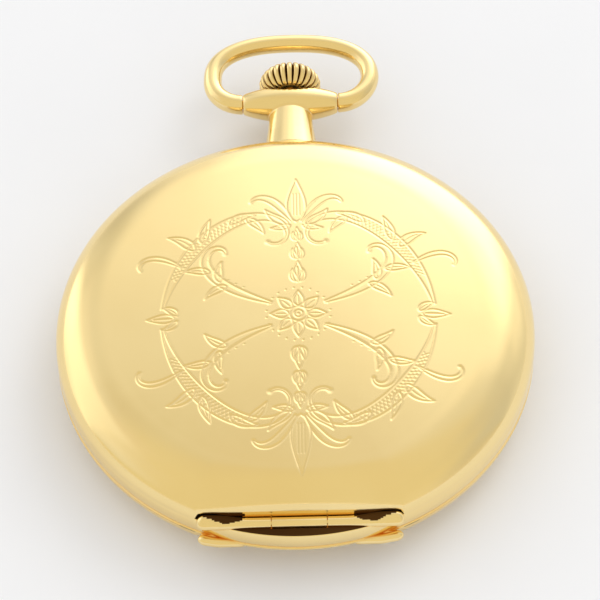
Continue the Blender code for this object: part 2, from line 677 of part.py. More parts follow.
# ---------------------------------------------------------------- motion work
def cannon_pinion():
    pinion = add(prism([gear(CENTRE, MINUTE_M, CANNON_T)], 7.4, 7.62),
                 cylinder(0.63, 7.5, 9.1, 12))
    part("cannon_pinion", cut(pinion, cylinder(0.42, 7, 10, 10)), "steel", spot(CENTRE, 8))


def hour_wheel():
    wheel = add(prism([gear(CENTRE, HOUR_M, HOUR_T)], 7.69, 7.84),
                cylinder(0.95, 7.75, 8.8, 14))
    part("hour_wheel", cut(wheel, cylinder(0.72, 7, 10, 12)), "brass", spot(CENTRE, 8))


def minute_wheel():
    wheel = add(prism([gear(MINUTE, MINUTE_M, MINUTE_T)], MOTION_Z0, MOTION_Z1),
                prism([gear(MINUTE, HOUR_M, MINUTE_LEAVES)], 7.5, 7.86),
                cylinder(0.3, 6.9, 7.5, 8, MINUTE))
    part("minute_wheel", wheel, "brass", spot(MINUTE, 7.5))


def setting_wheel():
    wheel = add(prism([gear(SETTING, MINUTE_M, SETTING_T)], MOTION_Z0, MOTION_Z1),
                cylinder(0.4, 6.9, 7.5, 8, SETTING))
    part("setting_wheel", wheel, "steel", spot(SETTING, 7.5))


def lever(name, pivot, tip, pin_z):
    """Flat lever with a stud at its pivot and a pin at its tip, both towards -Z."""
    angle = heading((tip - pivot).normalized())
    outline = arc(0.8, angle + 90, 180, 6, pivot) + arc(0.35, angle - 90, 180, 4, tip)
    root_z = MOTION_Z0 + 0.05
    solid = add(prism([outline], MOTION_Z0, MOTION_Z1),
                cylinder(0.2, pin_z, root_z, 8, tip), cylinder(0.3, 6.7, root_z, 8, pivot))
    part(name, solid, "steel", spot(pivot, 7.5))


def setting_levers():
    lever("yoke", YOKE, YOKE_TIP, 7.2)
    lever("setting_lever", SETTING_LEVER, SETTING_LEVER_TIP, 6.42)


# ---------------------------------------------------------------- plate and bridges
def main_plate():
    # places, hole radius, facets
    holes = ((BARREL_FEET + TRAIN_FEET + [COCK_FOOT] + CASE_SCREWS, SCREW_BORE, 8),
             ((THIRD, ESCAPE, PALLET, BALANCE), PIVOT_HOLE, 6),
             ((CENTRE,), 0.5, 8), ((FOURTH,), 0.35, 8), ((MINUTE,), 0.36, 8),
             ((SETTING,), 0.46, 8), ((YOKE, SETTING_LEVER), 0.36, 8))
    loops = [round_loop(CENTRE, PLATE_R, CASE_SEG)]
    for places, radius, seg in holes:
        loops += [round_loop(place, radius, seg) for place in places]
    plate = cut(prism(loops, PLATE_Z0, PLATE_Z1),
                cylinder(1.3, 5.5, 6.92, 12, CENTRE),      # centre pinion
                cylinder(9.25, 5.5, 6.9, 24, BARREL),
                cylinder(0.68, 5.5, 8, 10, BARREL),        # barrel arbor
                box(-2.1, 2.1, 13.5, 18.2, 5, 8),          # stem pinions
                box(-1.0, 1.0, 18.6, 20.9, 5, 8),          # setting lever's pin
                laid_on_stem(cylinder(STEM_R + 0.12, 12.6, 24, 12)))
    part("main_plate", plate, "nickel")


def with_foot(bridge, place, radius, foot_z0, seg):
    """Adds a foot down to the plate and bores it for its screw."""
    bridge = add(bridge, cylinder(radius, foot_z0, FOOT_Z1, seg, place))
    return cut(bridge, cylinder(SCREW_BORE, 2, 7, 8, place))


def footed_bridge(loops, feet):
    bridge = prism(loops, BRIDGE_Z0, BRIDGE_Z1)
    for place in feet:
        bridge = with_foot(bridge, place, FOOT_R, BRIDGE_Z1 - 0.2, 14)
    return bridge


def barrel_bridge():
    outline = arc(BRIDGE_R, 62, 143, 18)
    outline += [(-9.5, -8.3), (-6.6, -4.6), (3.2, -3.4), (3.2, 3.0), (2.5, 6.2), (5.8, 9.6)]
    bridge = footed_bridge([outline, round_loop(CENTRE, 0.32, 8), round_loop(BARREL, 1.02, 12),
                            round_loop(CLICK, 0.42, 8)], BARREL_FEET)
    bridge = cut(bridge, collar(3.2, 4.3, 3.0, 4.06, 20, CROWN_WHEEL),   # crown wheel's rim
                 box(-2.1, 2.1, 16.0, 18.2, 3, 5),                       # winding pinion
                 cylinder(0.42, 3, 5, 8, CROWN_WHEEL))
    part("barrel_bridge", bridge, "nickel")


def train_bridge():
    outline = arc(BRIDGE_R, -38, 98, 13)
    outline += [(6.2, 9.3), (2.9, 6.1), (3.6, 3.0), (3.6, -3.5)]
    outline += arc(8.2, 70, -52, 4, BALANCE)
    holes = [round_loop(place, PIVOT_HOLE, 6) for place in (THIRD, FOURTH, ESCAPE)]
    part("train_bridge", footed_bridge([outline] + holes, TRAIN_FEET), "nickel")


def balance_cock():
    angle = heading((COCK_FOOT - BALANCE).normalized())
    outline = (arc(COCK_R, angle + 90, 180, 8, BALANCE)
               + arc(COCK_R, angle - 90, 180, 8, COCK_FOOT))
    cock = prism([outline, round_loop(BALANCE, PIVOT_HOLE, 6)], COCK_Z0, COCK_Z1)
    cock = with_foot(cock, COCK_FOOT, COCK_FOOT_R, COCK_Z1 - 0.25, 16)
    part("balance_cock", cock, "nickel")


def pallet_bridge():
    top = in_frame(PALLET, TO_BALANCE, [(-0.5, -0.6), (0.6, -0.6), (0.9, 3.4), (-0.7, 3.4)])
    foot = in_frame(PALLET, TO_BALANCE,
                    [(-0.62, 2.75), (0.8, 2.75), (0.85, 3.3), (-0.65, 3.3)])
    bridge = add(prism([top, round_loop(PALLET, PIVOT_HOLE, 6)], 4.96, 5.12),
                 prism([foot], 5.05, FOOT_Z1))
    part("pallet_bridge", bridge, "nickel")


# ---------------------------------------------------------------- barrel and winding work
BARREL_BORE, DRUM_IN_R, DRUM_R = 1.05, 8.0, 8.4


def barrel():
    teeth = prism([gear(BARREL, BARREL_M, BARREL_T), round_loop(BARREL, 8.1, 20)], 6.3, 6.8)
    drum = turned([(BARREL_BORE, 6.6), (DRUM_IN_R, 6.6), (DRUM_IN_R, 5.3), (DRUM_R, 5.3),
                   (DRUM_R, 6.78), (BARREL_BORE, 6.78)], 20, BARREL)
    part("barrel", add(teeth, drum), "brass", spot(BARREL, 6))
    part("barrel_cover", collar(BARREL_BORE, DRUM_IN_R - 0.1, 5.32, 5.47, 20, BARREL),
         "brass", spot(BARREL, 5.4))


def mainspring():
    spring = coil(BARREL, r0=2.15, r1=7.75, turns=3, width=0.16, z0=5.6, z1=6.5)
    part("mainspring", spring, "steel", spot(BARREL, 6))


def barrel_arbor():
    arbor = stacked(BARREL, [(3.02, 0.70), (3.43, 0.95), (5.52, 1.85), (6.56, 0.95),
                             (6.86, 0.6), (7.25, 0)], 12)
    part("barrel_arbor", cut(arbor, cylinder(0.42, 2.5, 4.4, 8, BARREL)), "steel",
         spot(BARREL, 5))


def ratchet_wheel():
    loops = [gear(BARREL, RATCHET_M, RATCHET_T, WINDING_DEPTH), round_loop(BARREL, 0.76, 12)]
    part("ratchet_wheel", prism(loops, WINDING_Z0, WINDING_Z1), "steel", spot(BARREL, 3.2))


def crown_wheel():
    loops = [gear(CROWN_WHEEL, RATCHET_M, CROWN_WHEEL_T, WINDING_DEPTH),
             round_loop(CROWN_WHEEL, 0.45, 8)]
    wheel = add(prism(loops, WINDING_Z0, WINDING_Z1),
                collar(3.4, 4.1, 3.3, 4.0, 18, CROWN_WHEEL))
    part("crown_wheel", wheel, "steel", spot(CROWN_WHEEL, 3.2))


def click():
    toward = (BARREL - CLICK).normalized()
    beak_reach = (BARREL - CLICK).length - 7.62
    outline = arc(0.95, heading(toward) + 60, 240, 8, CLICK)
    outline += in_frame(CLICK, toward, [(0.9, -2.0), (beak_reach, -2.3)])
    pawl = add(prism([outline], 3.05, 3.38), cylinder(0.36, 3.2, 4.1, 8, CLICK))
    part("click", pawl, "steel", spot(CLICK, 3.2))


def click_spring():
    offsets = ((1.4, -1.2), (4.4, -1.9), (7.6, -1.5), (7.6, -1.2), (4.4, -1.55), (1.4, -0.85))
    outline = [CLICK + Vector(offset) for offset in offsets]
    part("click_spring", prism([outline], 3.12, 3.36), "steel")


# ---------------------------------------------------------------- going train
def train_wheel(name, centre, radius, outline, wheel_z, leaves, leaves_z, arbor, arms,
                kind="brass", tooth_depth=0.0):
    """Crossed-out wheel with its pinion, on an arbor of (z, radius) steps."""
    rim_r = radius - max(0.75, 0.13 * radius) - tooth_depth * 0.5
    openings = crossings(centre, 0.26 * radius + 0.25, rim_r, arms, WHEEL_BAR)
    wheel = add(prism([outline] + openings, *wheel_z), stacked(centre, arbor, 8),
                prism([leaves], *leaves_z))
    part(name, wheel, kind, spot(centre))


def going_train():
    train_wheel("centre_wheel", CENTRE, pitch(CENTRE_M, CENTRE_T),
                gear(CENTRE, CENTRE_M, CENTRE_T), (5.05, 5.20),
                gear(CENTRE, BARREL_M, CENTRE_LEAVES), (5.1, 6.85),
                [(3.6, 0.22), (4.25, 0.5), (7.0, 0.36), (8.85, 0)], arms=5)
    train_wheel("third_wheel", THIRD, pitch(THIRD_M, THIRD_T),
                gear(THIRD, THIRD_M, THIRD_T), (5.40, 5.54),
                gear(THIRD, CENTRE_M, THIRD_LEAVES), (4.95, 5.30),
                [(3.7, PIVOT_R), (4.25, 0.35), (5.85, PIVOT_R), (6.9, 0)], arms=5)
    train_wheel("fourth_wheel", FOURTH, pitch(FOURTH_M, FOURTH_T),
                gear(FOURTH, FOURTH_M, FOURTH_T), (4.60, 4.73),
                gear(FOURTH, THIRD_M, FOURTH_LEAVES), (5.25, 5.70),
                [(3.7, PIVOT_R), (4.25, 0.3), (5.85, 0.2), (8.52, 0)], arms=4)
    train_wheel("escape_wheel", ESCAPE, ESCAPE_R,
                toothed(ESCAPE, ESCAPE_R, ESCAPE_T, ESCAPE_DEPTH), LEVER_PLANE,
                gear(ESCAPE, FOURTH_M, ESCAPE_LEAVES), (4.5, 4.85),
                [(3.7, PIVOT_R), (4.25, 0.22), (5.85, PIVOT_R), (6.9, 0)], arms=4,
                kind="steel", tooth_depth=ESCAPE_DEPTH)


# ---------------------------------------------------------------- escapement and balance
def pallet_fork():
    end = (BALANCE - PALLET).length - 1.9
    edge = [(-1.12, -2.5), (-0.75, -2.5), (0.28, -0.45), (end - 0.8, -0.2),
            (end - 0.45, -0.6), (end, -0.6), (end, -0.24), (end - 0.5, -0.2)]
    outline = edge + [(ahead, -aside) for ahead, aside in edge[::-1]]
    outline += [(-0.45, 0.32), (-0.45, -0.32)]
    fork = add(prism([in_frame(PALLET, TO_BALANCE, outline)], *LEVER_PLANE),
               stacked(PALLET, [(5.0, PIVOT_R), (5.15, 0.26), (5.85, PIVOT_R), (6.7, 0)], 8))
    part("pallet_fork", fork, "steel", spot(PALLET, 5.4))


def balance_wheel():
    """Two-armed balance with its rim, staff and roller, and a pin towards the fork."""
    openings = crossings(BALANCE, 0.9, 6.85, arms=2, bar=1.0, start=30, steps=6)
    wheel = add(prism([round_loop(BALANCE, BALANCE_R, 24)] + openings, 4.42, 4.62),
                collar(BALANCE_RIM_R, BALANCE_R, 4.30, 4.82, 24, BALANCE),
                stacked(BALANCE, [(3.3, PIVOT_R), (3.88, 0.45), (4.9, 0.3), (5.10, 1.85),
                                  (5.22, PIVOT_R), (6.9, 0)]),
                cylinder(0.16, 5.15, 5.5, 8, BALANCE - 1.6 * TO_BALANCE))
    part("balance_wheel", wheel, "brass", spot(BALANCE, 4.5))


def hairspring():
    spring = coil(BALANCE, r0=0.8, r1=4.4, turns=4, width=0.07, z0=3.98, z1=4.16, start=20)
    part("hairspring", spring, "blued", spot(BALANCE, 4.1))


def regulator():
    z0, z1 = 2.72, 2.93
    pointer = in_frame(BALANCE, polar(1, 62.0),
                       [(1.0, -0.7), (5.8, -0.12), (5.8, 0.12), (1.0, 0.7)])
    index = add(prism([pointer], z0, z1), cylinder(1.75, z0, z1, 16, BALANCE))
    part("regulator", cut(index, cylinder(1.15, 2, 3.5, 14, BALANCE)), "steel",
         spot(BALANCE, 2.8))


# ---------------------------------------------------------------- screws
# name, place, head z, head radius, head height, end z, facets, origin z
SCREWS = (
    ("ratchet_screw", BARREL, 2.62, 1.35, 0.37, 4.2, 12, 3),
    ("crown_wheel_screw", CROWN_WHEEL, 2.62, 1.2, 0.37, 4.15, 12, 3),
    ("barrel_bridge_screw_1", BARREL_FEET[0], 3.02, 1.0, 0.4, 7.1, 10, 5),
    ("barrel_bridge_screw_2", BARREL_FEET[1], 3.02, 1.0, 0.4, 7.1, 10, 5),
    ("train_bridge_screw_1", TRAIN_FEET[0], 3.02, 1.0, 0.4, 7.1, 10, 5),
    ("train_bridge_screw_2", TRAIN_FEET[1], 3.02, 1.0, 0.4, 7.1, 10, 5),
    ("cock_screw", COCK_FOOT, 2.57, 1.1, 0.4, 7.1, 10, 5),
    ("case_screw_1", CASE_SCREWS[0], 5.35, 1.3, 0.5, 7.2, 10, 5),
    ("case_screw_2", CASE_SCREWS[1], 5.35, 1.3, 0.5, 7.2, 10, 5),
)


def screws():
    for name, place, head_z, head_r, head_h, end_z, seg, origin_z in SCREWS:
        steps = [(head_z, head_r), (head_z + head_h, SCREW_SHANK), (end_z, 0)]
        part(name, stacked(place, steps, seg), "steel", spot(place, origin_z))


for old in list(bpy.data.objects):
    bpy.data.objects.remove(old, do_unlink=True)

for build in (front_lid, rear_cover, cuvette, case_band, hinge_pins, pendant, bow, crown,
              stem_work, lid_catch, lid_lift_spring, bezel, crystal, dial, hands,
              cannon_pinion, hour_wheel, minute_wheel, setting_wheel, setting_levers,
              main_plate, barrel_bridge, train_bridge, balance_cock, pallet_bridge,
              barrel, mainspring, barrel_arbor, ratchet_wheel, crown_wheel, click,
              click_spring, going_train, pallet_fork, balance_wheel, hairspring,
              regulator, screws):
    build()
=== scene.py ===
# A closed pocket watch in a gold case with an engraved lid. Its axis is Z, through the
# origin: the lid faces +Z, the rear cover -Z, the hinge lies at -Y, and the pendant, bow
# and crown at +Y. Shapes are worked out in mm and turned to metres as meshes are made.
import json
import math

import bmesh
import bpy
import numpy as np
from mathutils import Matrix, Vector


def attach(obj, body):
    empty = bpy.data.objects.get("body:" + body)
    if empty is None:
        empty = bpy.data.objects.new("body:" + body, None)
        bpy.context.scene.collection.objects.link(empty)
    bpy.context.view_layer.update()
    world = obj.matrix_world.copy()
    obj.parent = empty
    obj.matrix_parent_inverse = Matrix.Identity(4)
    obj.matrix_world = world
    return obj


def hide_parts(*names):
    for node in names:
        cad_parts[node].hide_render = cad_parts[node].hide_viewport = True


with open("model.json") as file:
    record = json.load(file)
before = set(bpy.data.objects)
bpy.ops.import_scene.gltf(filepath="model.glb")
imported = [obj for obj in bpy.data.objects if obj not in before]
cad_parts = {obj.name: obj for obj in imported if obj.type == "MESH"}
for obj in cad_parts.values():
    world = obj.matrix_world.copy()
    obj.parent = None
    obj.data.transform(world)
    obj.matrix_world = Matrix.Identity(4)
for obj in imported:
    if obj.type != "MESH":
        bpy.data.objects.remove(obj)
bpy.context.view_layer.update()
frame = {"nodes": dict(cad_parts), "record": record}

MM = 0.001
TAU = 2 * math.pi

# ---------------------------------------------------------------- main dimensions, mm
CASE_R = 26.0
BAND_Z0, BAND_Z1 = 4.75, 7.10               # lower and upper face of the band
SEAM = 0.05                                 # gap between the band and each cover

SHOULDER_REACH = 6.9                        # half-axis of the shoulder's ellipse, radially
LID_SHOULDER_H, REAR_SHOULDER_H = 3.95, 4.10
SHOULDER_TURN = math.radians(78.9)          # where on the ellipse the dome takes over
SHOULDER_R = CASE_R - SHOULDER_REACH        # centre of the ellipse
DOME_R = SHOULDER_R + SHOULDER_REACH * math.cos(SHOULDER_TURN)
LID_TOP_Z = 12.2
REAR_FLAT_R = 12.0
WALL = 0.60

HINGE_Y, HINGE_R = -24.2, 0.60
LID_HINGE_Z, REAR_HINGE_Z = 7.12, 4.73
COVER_EDGE_Y = 23.55                        # straight edge of the covers, towards -Y

STEM_Z = 5.9
HEAD_Y = 33.1                               # cross axis of the pendant head


# ---------------------------------------------------------------- shader graphs
class Graph:
    """Adds and joins the nodes of one shader tree."""

    def __init__(self, tree):
        self.tree = tree

    def fill(self, node, inputs):
        """Gives each input of a node its value, or links it to the socket given."""
        for key, source in inputs.items():
            if isinstance(source, bpy.types.NodeSocket):
                self.tree.links.new(source, node.inputs[key])
            else:
                node.inputs[key].default_value = source

    def node(self, kind, inputs=None, **settings):
        node = self.tree.nodes.new("ShaderNode" + kind)
        for key, value in settings.items():
            setattr(node, key, value)
        self.fill(node, inputs or {})
        return node

    def calc(self, operation, first, second):
        return self.node("Math", {0: first, 1: second}, operation=operation).outputs[0]

    def remap(self, value, source, target=(0, 1), **settings):
        return self.node("MapRange", {
            "Value": value,
            "From Min": source[0], "From Max": source[1],
            "To Min": target[0], "To Max": target[1],
        }, **settings).outputs["Result"]

    def ramp(self, value, stops, interpolation="LINEAR"):
        node = self.node("ValToRGB", {"Fac": value})
        node.color_ramp.interpolation = interpolation
        elements = node.color_ramp.elements
        while len(elements) < len(stops):
            elements.new(0.5)
        for element, (position, colour) in zip(elements, stops):
            element.position = position
            element.color = (*colour, 1)
        return node.outputs["Color"]

    def mix_colour(self, factor, first, second):
        inputs = {"Fac": factor, "Color1": first, "Color2": second}
        return self.node("MixRGB", inputs).outputs["Color"]

    def mix_shader(self, factor, first, second):
        return self.node("MixShader", {"Fac": factor, 1: first, 2: second}).outputs[0]


class Material(Graph):
    def __init__(self, name):
        self.material = bpy.data.materials.new(name)
        self.material.use_nodes = True
        super().__init__(self.material.node_tree)
        self.surface = self.tree.nodes["Principled BSDF"]
        self.output = self.tree.nodes["Material Output"]
        self.place = self.node("TexCoord").outputs["Object"]

    def noise(self, scale, detail=3.0, stretch=(1, 1, 1), roughness=0.5):
        mapping = self.node("Mapping", {"Scale": stretch, "Vector": self.place})
        return self.node("TexNoise", {
            "Scale": scale, "Detail": detail, "Roughness": roughness,
            "Vector": mapping.outputs[0],
        }).outputs["Fac"]

    def drift(self, noise, first, second, edges=(0.3, 0.7)):
        """A colour wandering between two."""
        return self.ramp(noise, list(zip(edges, (first, second))))

    def spread(self, noise, low, high):
        """A number wandering between two."""
        return self.remap(noise, source=(0.3, 0.7), target=(low, high))

    def bump(self, height, strength):
        inputs = {"Strength": strength, "Distance": 0.00002, "Height": height}
        return self.node("Bump", inputs).outputs["Normal"]


def metal(name, colours, roughness, scratch, painted_groove_shade=None):
    """Polished metal: slow colour drift, roughness clouds, hairlines in two directions.

    The last argument, if given, is painted shade: a colour mixed into grooves by ambient
    occlusion."""
    shader = Material(name)
    colour = shader.drift(shader.noise(scale=60, detail=4), *colours, edges=(0.35, 0.65))
    # painted shade: grooves and hollows darkened towards the given colour by ambient occlusion
    if painted_groove_shade:
        occlusion = shader.node("AmbientOcclusion", {"Distance": 0.0004},
                                samples=6, only_local=True)
        openness = shader.calc("POWER", occlusion.outputs["AO"], 2.2)
        colour = shader.mix_colour(openness, (*painted_groove_shade, 1), colour)
    clouds = shader.noise(scale=240, detail=6, roughness=0.65)
    rough = shader.spread(clouds, *roughness)
    hairlines = shader.calc("ADD",
                            shader.noise(scale=2600, detail=2, stretch=(1, 0.03, 0.3)),
                            shader.noise(scale=2300, detail=2, stretch=(0.03, 1, 0.3)))
    shader.fill(shader.surface, {
        "Metallic": 1.0,
        "Base Color": colour,
        "Roughness": rough,
        "Normal": shader.bump(hairlines, strength=scratch),
    })
    return shader.material


def enamel():
    shader = Material("dial_enamel")
    shader.fill(shader.surface, {
        "Base Color": shader.drift(shader.noise(scale=90, detail=4),
                                   (0.86, 0.85, 0.80), (0.90, 0.89, 0.85)),
        "Roughness": shader.spread(shader.noise(scale=400), low=0.10, high=0.18),
        "Normal": shader.bump(shader.noise(scale=1500, detail=2), strength=0.02),
        "Coat Weight": 0.4,
    })
    return shader.material


def glass():
    """Clear glass that lets shadow and diffuse rays straight through."""
    shader = Material("crystal_glass")
    shader.fill(shader.surface, {
        "Base Color": (1, 1, 1, 1),
        "IOR": 1.45,
        "Roughness": shader.spread(shader.noise(scale=700, detail=4), low=0.0, high=0.02),
        "Transmission Weight": 1.0,
    })
    clear = shader.node("BsdfTransparent")
    rays = shader.node("LightPath").outputs
    passes = shader.calc("MAXIMUM", rays["Is Shadow Ray"], rays["Is Diffuse Ray"])
    mixed = shader.mix_shader(passes, shader.surface.outputs[0], clear.outputs[0])
    shader.fill(shader.output, {"Surface": mixed})
    return shader.material


GOLD = ((0.915, 0.705, 0.325), (0.945, 0.745, 0.36))
# The groove colours given to the gold and the lid are painted shade in the engraving and the
# recesses.
mat_gold = metal("gold_polished", GOLD, roughness=(0.11, 0.17), scratch=0.05,
                 painted_groove_shade=(0.78, 0.36, 0.05))
mat_lid = metal("gold_lid", GOLD, roughness=(0.12, 0.19), scratch=0.06,
                painted_groove_shade=(0.62, 0.33, 0.07))
mat_gold_in = metal("gold_inside", ((0.90, 0.66, 0.28), (0.94, 0.71, 0.33)),
                    roughness=(0.10, 0.16), scratch=0.04)
mat_nickel = metal("nickel_plate", ((0.70, 0.66, 0.60), (0.78, 0.74, 0.68)),
                   roughness=(0.24, 0.36), scratch=0.08)
mat_brass = metal("gilt_wheel", ((0.80, 0.58, 0.26), (0.86, 0.65, 0.32)),
                  roughness=(0.20, 0.32), scratch=0.08)
mat_steel = metal("steel_polished", ((0.52, 0.52, 0.53), (0.62, 0.62, 0.63)),
                  roughness=(0.16, 0.26), scratch=0.06)
mat_blued = metal("steel_blued", ((0.02, 0.05, 0.26), (0.04, 0.09, 0.40)),
                  roughness=(0.14, 0.22), scratch=0.03)
mat_enamel = enamel()
mat_glass = glass()
# The crown's dark brown groove colour is painted shade in its flutes.
mat_crown = metal("gold_crown", GOLD, roughness=(0.15, 0.22), scratch=0.04,
                  painted_groove_shade=(0.16, 0.055, 0.006))
# A dark brown gold put in the seams and at the hinge: painted shade.
mat_seam_shade = metal("gold_seam_shade", ((0.055, 0.022, 0.006), (0.10, 0.045, 0.012)),
                    roughness=(0.45, 0.65), scratch=0.10)


# ---------------------------------------------------------------- objects
def add_object(name, data):
    obj = bpy.data.objects.new(name, data)
    bpy.context.scene.collection.objects.link(obj)
    return obj


def finish_mesh(name, mesh, mat, sharp_angle=40.0):
    mesh.materials.append(mat)
    mesh.shade_smooth()
    mesh.set_sharp_from_angle(angle=math.radians(sharp_angle))
    return add_object(name, mesh)


def from_bm(name, bm, mat, sharp_angle=40.0):
    """An object in metres from a bmesh in mm."""
    bmesh.ops.recalc_face_normals(bm, faces=bm.faces)
    mesh = bpy.data.meshes.new(name)
    bm.transform(Matrix.Scale(MM, 4))
    bm.to_mesh(mesh)
    bm.free()
    return finish_mesh(name, mesh, mat, sharp_angle)


def put(obj, body, *nodes):
    """Rides a gold piece on a body, in place of the frame nodes named."""
    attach(obj, body)
    if nodes:
        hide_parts(*nodes)


# ---------------------------------------------------------------- solids, mm
def turned(profile, segments, offset=0.0):
    """Turns a closed (radius, z) profile about Z; offset is a fraction of a segment."""
    bm = bmesh.new()
    rings = []
    for r, z in profile:
        if r < 1e-6:
            rings.append([bm.verts.new((0, 0, z))])
            continue
        angles = [TAU * (i + offset) / segments for i in range(segments)]
        rings.append([bm.verts.new((r * math.cos(a), r * math.sin(a), z)) for a in angles])
    for k, ring in enumerate(rings):
        following = rings[(k + 1) % len(rings)]
        if len(ring) == 1 and len(following) == 1:
            continue
        for i in range(segments):
            j = (i + 1) % segments
            corners = [ring[0]] if len(ring) == 1 else [ring[i], ring[j]]
            corners += [following[0]] if len(following) == 1 else [following[j], following[i]]
            bm.faces.new(corners)
    bmesh.ops.recalc_face_normals(bm, faces=bm.faces)
    return bm


def tube(r_in, r_out, start, end):
    """Profile of a tube, or of a solid rod where r_in is 0."""
    return [(r_in, start), (r_out, start), (r_out, end), (r_in, end)]


def soft(profile, rounding):
    """Rounds the corners of a profile, save those on the axis."""
    out = []
    for i, point in enumerate(profile):
        corner = Vector(point)
        if corner.x < 1e-6:
            out.append(tuple(corner))
            continue
        back = Vector(profile[i - 1]) - corner
        ahead = Vector(profile[(i + 1) % len(profile)]) - corner
        reach = min(rounding, back.length * 0.45, ahead.length * 0.45)
        a = corner + back.normalized() * reach
        c = corner + ahead.normalized() * reach
        for f in (0.0, 0.5, 1.0):
            out.append(tuple(a * (1 - f) ** 2 + corner * 2 * f * (1 - f) + c * f * f))
    return out


def block(x0, x1, y0, y1, z0, z1):
    """A box whose top and bottom are split in triangles."""
    flat = bmesh.new()
    corners = [flat.verts.new((x, y, 0)) for x, y in ((x0, y0), (x1, y0), (x1, y1), (x0, y1))]
    for i in range(4):
        flat.edges.new((corners[i], corners[(i + 1) % 4]))
    bmesh.ops.triangle_fill(flat, use_beauty=True, edges=flat.edges[:], normal=(0, 0, 1))
    flat.verts.index_update()
    bm = bmesh.new()
    low = [bm.verts.new((v.co.x, v.co.y, z0)) for v in flat.verts]
    high = [bm.verts.new((v.co.x, v.co.y, z1)) for v in flat.verts]
    for face in flat.faces:
        ids = [v.index for v in face.verts]
        if face.normal.z < 0:
            ids.reverse()
        bm.faces.new([high[i] for i in ids])
        bm.faces.new([low[i] for i in reversed(ids)])
    for edge in flat.edges:
        if len(edge.link_faces) == 1:
            i, j = edge.verts[0].index, edge.verts[1].index
            bm.faces.new((low[i], low[j], high[j], high[i]))
    flat.free()
    bmesh.ops.recalc_face_normals(bm, faces=bm.faces)
    return bm


def loft(rings):
    """Skins equal rings of points one after another and closes both ends."""
    bm = bmesh.new()
    rings = [[bm.verts.new(point) for point in ring] for ring in rings]
    for ring, following in zip(rings[:-1], rings[1:]):
        for i in range(len(ring)):
            j = (i + 1) % len(ring)
            bm.faces.new((ring[i], ring[j], following[j], following[i]))
    bm.faces.new(rings[0])
    bm.faces.new(rings[-1])
    return bm


def merged(*parts):
    out = bmesh.new()
    for part in parts:
        mesh = bpy.data.meshes.new("part")
        part.to_mesh(mesh)
        part.free()
        out.from_mesh(mesh)
        bpy.data.meshes.remove(mesh)
    return out


def work_object(bm):
    mesh = bpy.data.meshes.new("work")
    bm.to_mesh(mesh)
    bm.free()
    return add_object("work", mesh)


def collect(obj, *helpers):
    """The modified shape of a work object as a bmesh; removes it and its helpers."""
    bpy.context.view_layer.update()
    evaluated = obj.evaluated_get(bpy.context.evaluated_depsgraph_get())
    bm = bmesh.new()
    bm.from_mesh(evaluated.to_mesh())
    evaluated.to_mesh_clear()
    for work in (obj, *helpers):
        mesh = work.data
        bpy.data.objects.remove(work)
        bpy.data.meshes.remove(mesh)
    return bm


def boolean(base, tool, operation):
    base, tool = work_object(base), work_object(tool)
    modifier = base.modifiers.new("cut", "BOOLEAN")
    modifier.operation = operation
    modifier.solver = "EXACT"
    modifier.object = tool
    return collect(base, tool)


def cut(base, tool):
    return boolean(base, tool, "DIFFERENCE")


def remeshed(bm, voxel, smooth_steps):
    """Overlapping solids as one skin, relaxed."""
    obj = work_object(bm)
    remesh = obj.modifiers.new("remesh", "REMESH")
    remesh.mode = "VOXEL"
    remesh.voxel_size = voxel
    smooth = obj.modifiers.new("smooth", "SMOOTH")
    smooth.factor = 0.5
    smooth.iterations = smooth_steps
    return collect(obj)


def lay_y(bm):
    """Lays a solid turned about Z along Y, on the axis of the stem."""
    bm.transform(Matrix.Translation((0, 0, STEM_Z)) @ Matrix.Rotation(-math.pi / 2, 4, "X"))
    return bm


def lay_x(bm, y, z):
    bm.transform(Matrix.Translation((0, y, z)) @ Matrix.Rotation(math.pi / 2, 4, "Y"))
    return bm


def smoothstep(x):
    x = np.clip(x, 0, 1)
    return x * x * (3 - 2 * x)


# ---------------------------------------------------------------- engraving
LINE, DEPTH = 0.17, 0.075       # half-width and depth of a main groove
DOT_STEP = 0.02                 # a punched dot is a groove this long

# sign changes of x and y under which a line is repeated
ONCE = ((1, 1),)
LEFT_RIGHT = ((1, 1), (-1, 1))
UP_DOWN = ((1, 1), (1, -1))
QUARTERS = LEFT_RIGHT + ((1, -1), (-1, -1))


def polar(r, degrees):
    a = math.radians(degrees)
    return Vector((r * math.cos(a), r * math.sin(a)))


def circle(r, count):
    return [polar(r, 360.0 * i / count) for i in range(count)]


def walk(start, heading, length, curve, steps):
    """A line drawn by turning: curve(t) is the curvature at t from 0 to 1."""
    points = [np.array(start, float)]
    a = math.radians(heading)
    step = length / steps
    for i in range(steps):
        a += curve((i + 0.5) / steps) * step
        points.append(points[-1] + step * np.array([math.cos(a), math.sin(a)]))
    return np.array(points)


def sides(points, width):
    """The two lines that run at a distance of width beside a line."""
    along = np.gradient(points, axis=0)
    along /= np.linalg.norm(along, axis=1)[:, None] + 1e-9
    offset = np.stack([-along[:, 1], along[:, 0]], 1) * np.asarray(width)[:, None]
    return points + offset, points - offset


def swell(count, base, rise, power=1.0, stretch=1.0):
    """Widths that grow from base and shrink back to it."""
    t = np.clip(np.linspace(0, 1, count) * stretch, 0, 1)
    return base + rise * np.sin(np.pi * t) ** power


def leaf_outline(start, heading, length, width, bend=0.0):
    """Both edges and the midline of a leaf."""
    steps = 26
    middle = walk(start, heading, length, lambda t: bend / length, steps)
    t = np.linspace(0, 1, steps + 1)
    half_width = width * np.sin(np.pi * t ** 0.75) ** 0.9 * (1 - 0.25 * t)
    return *sides(middle, half_width), middle


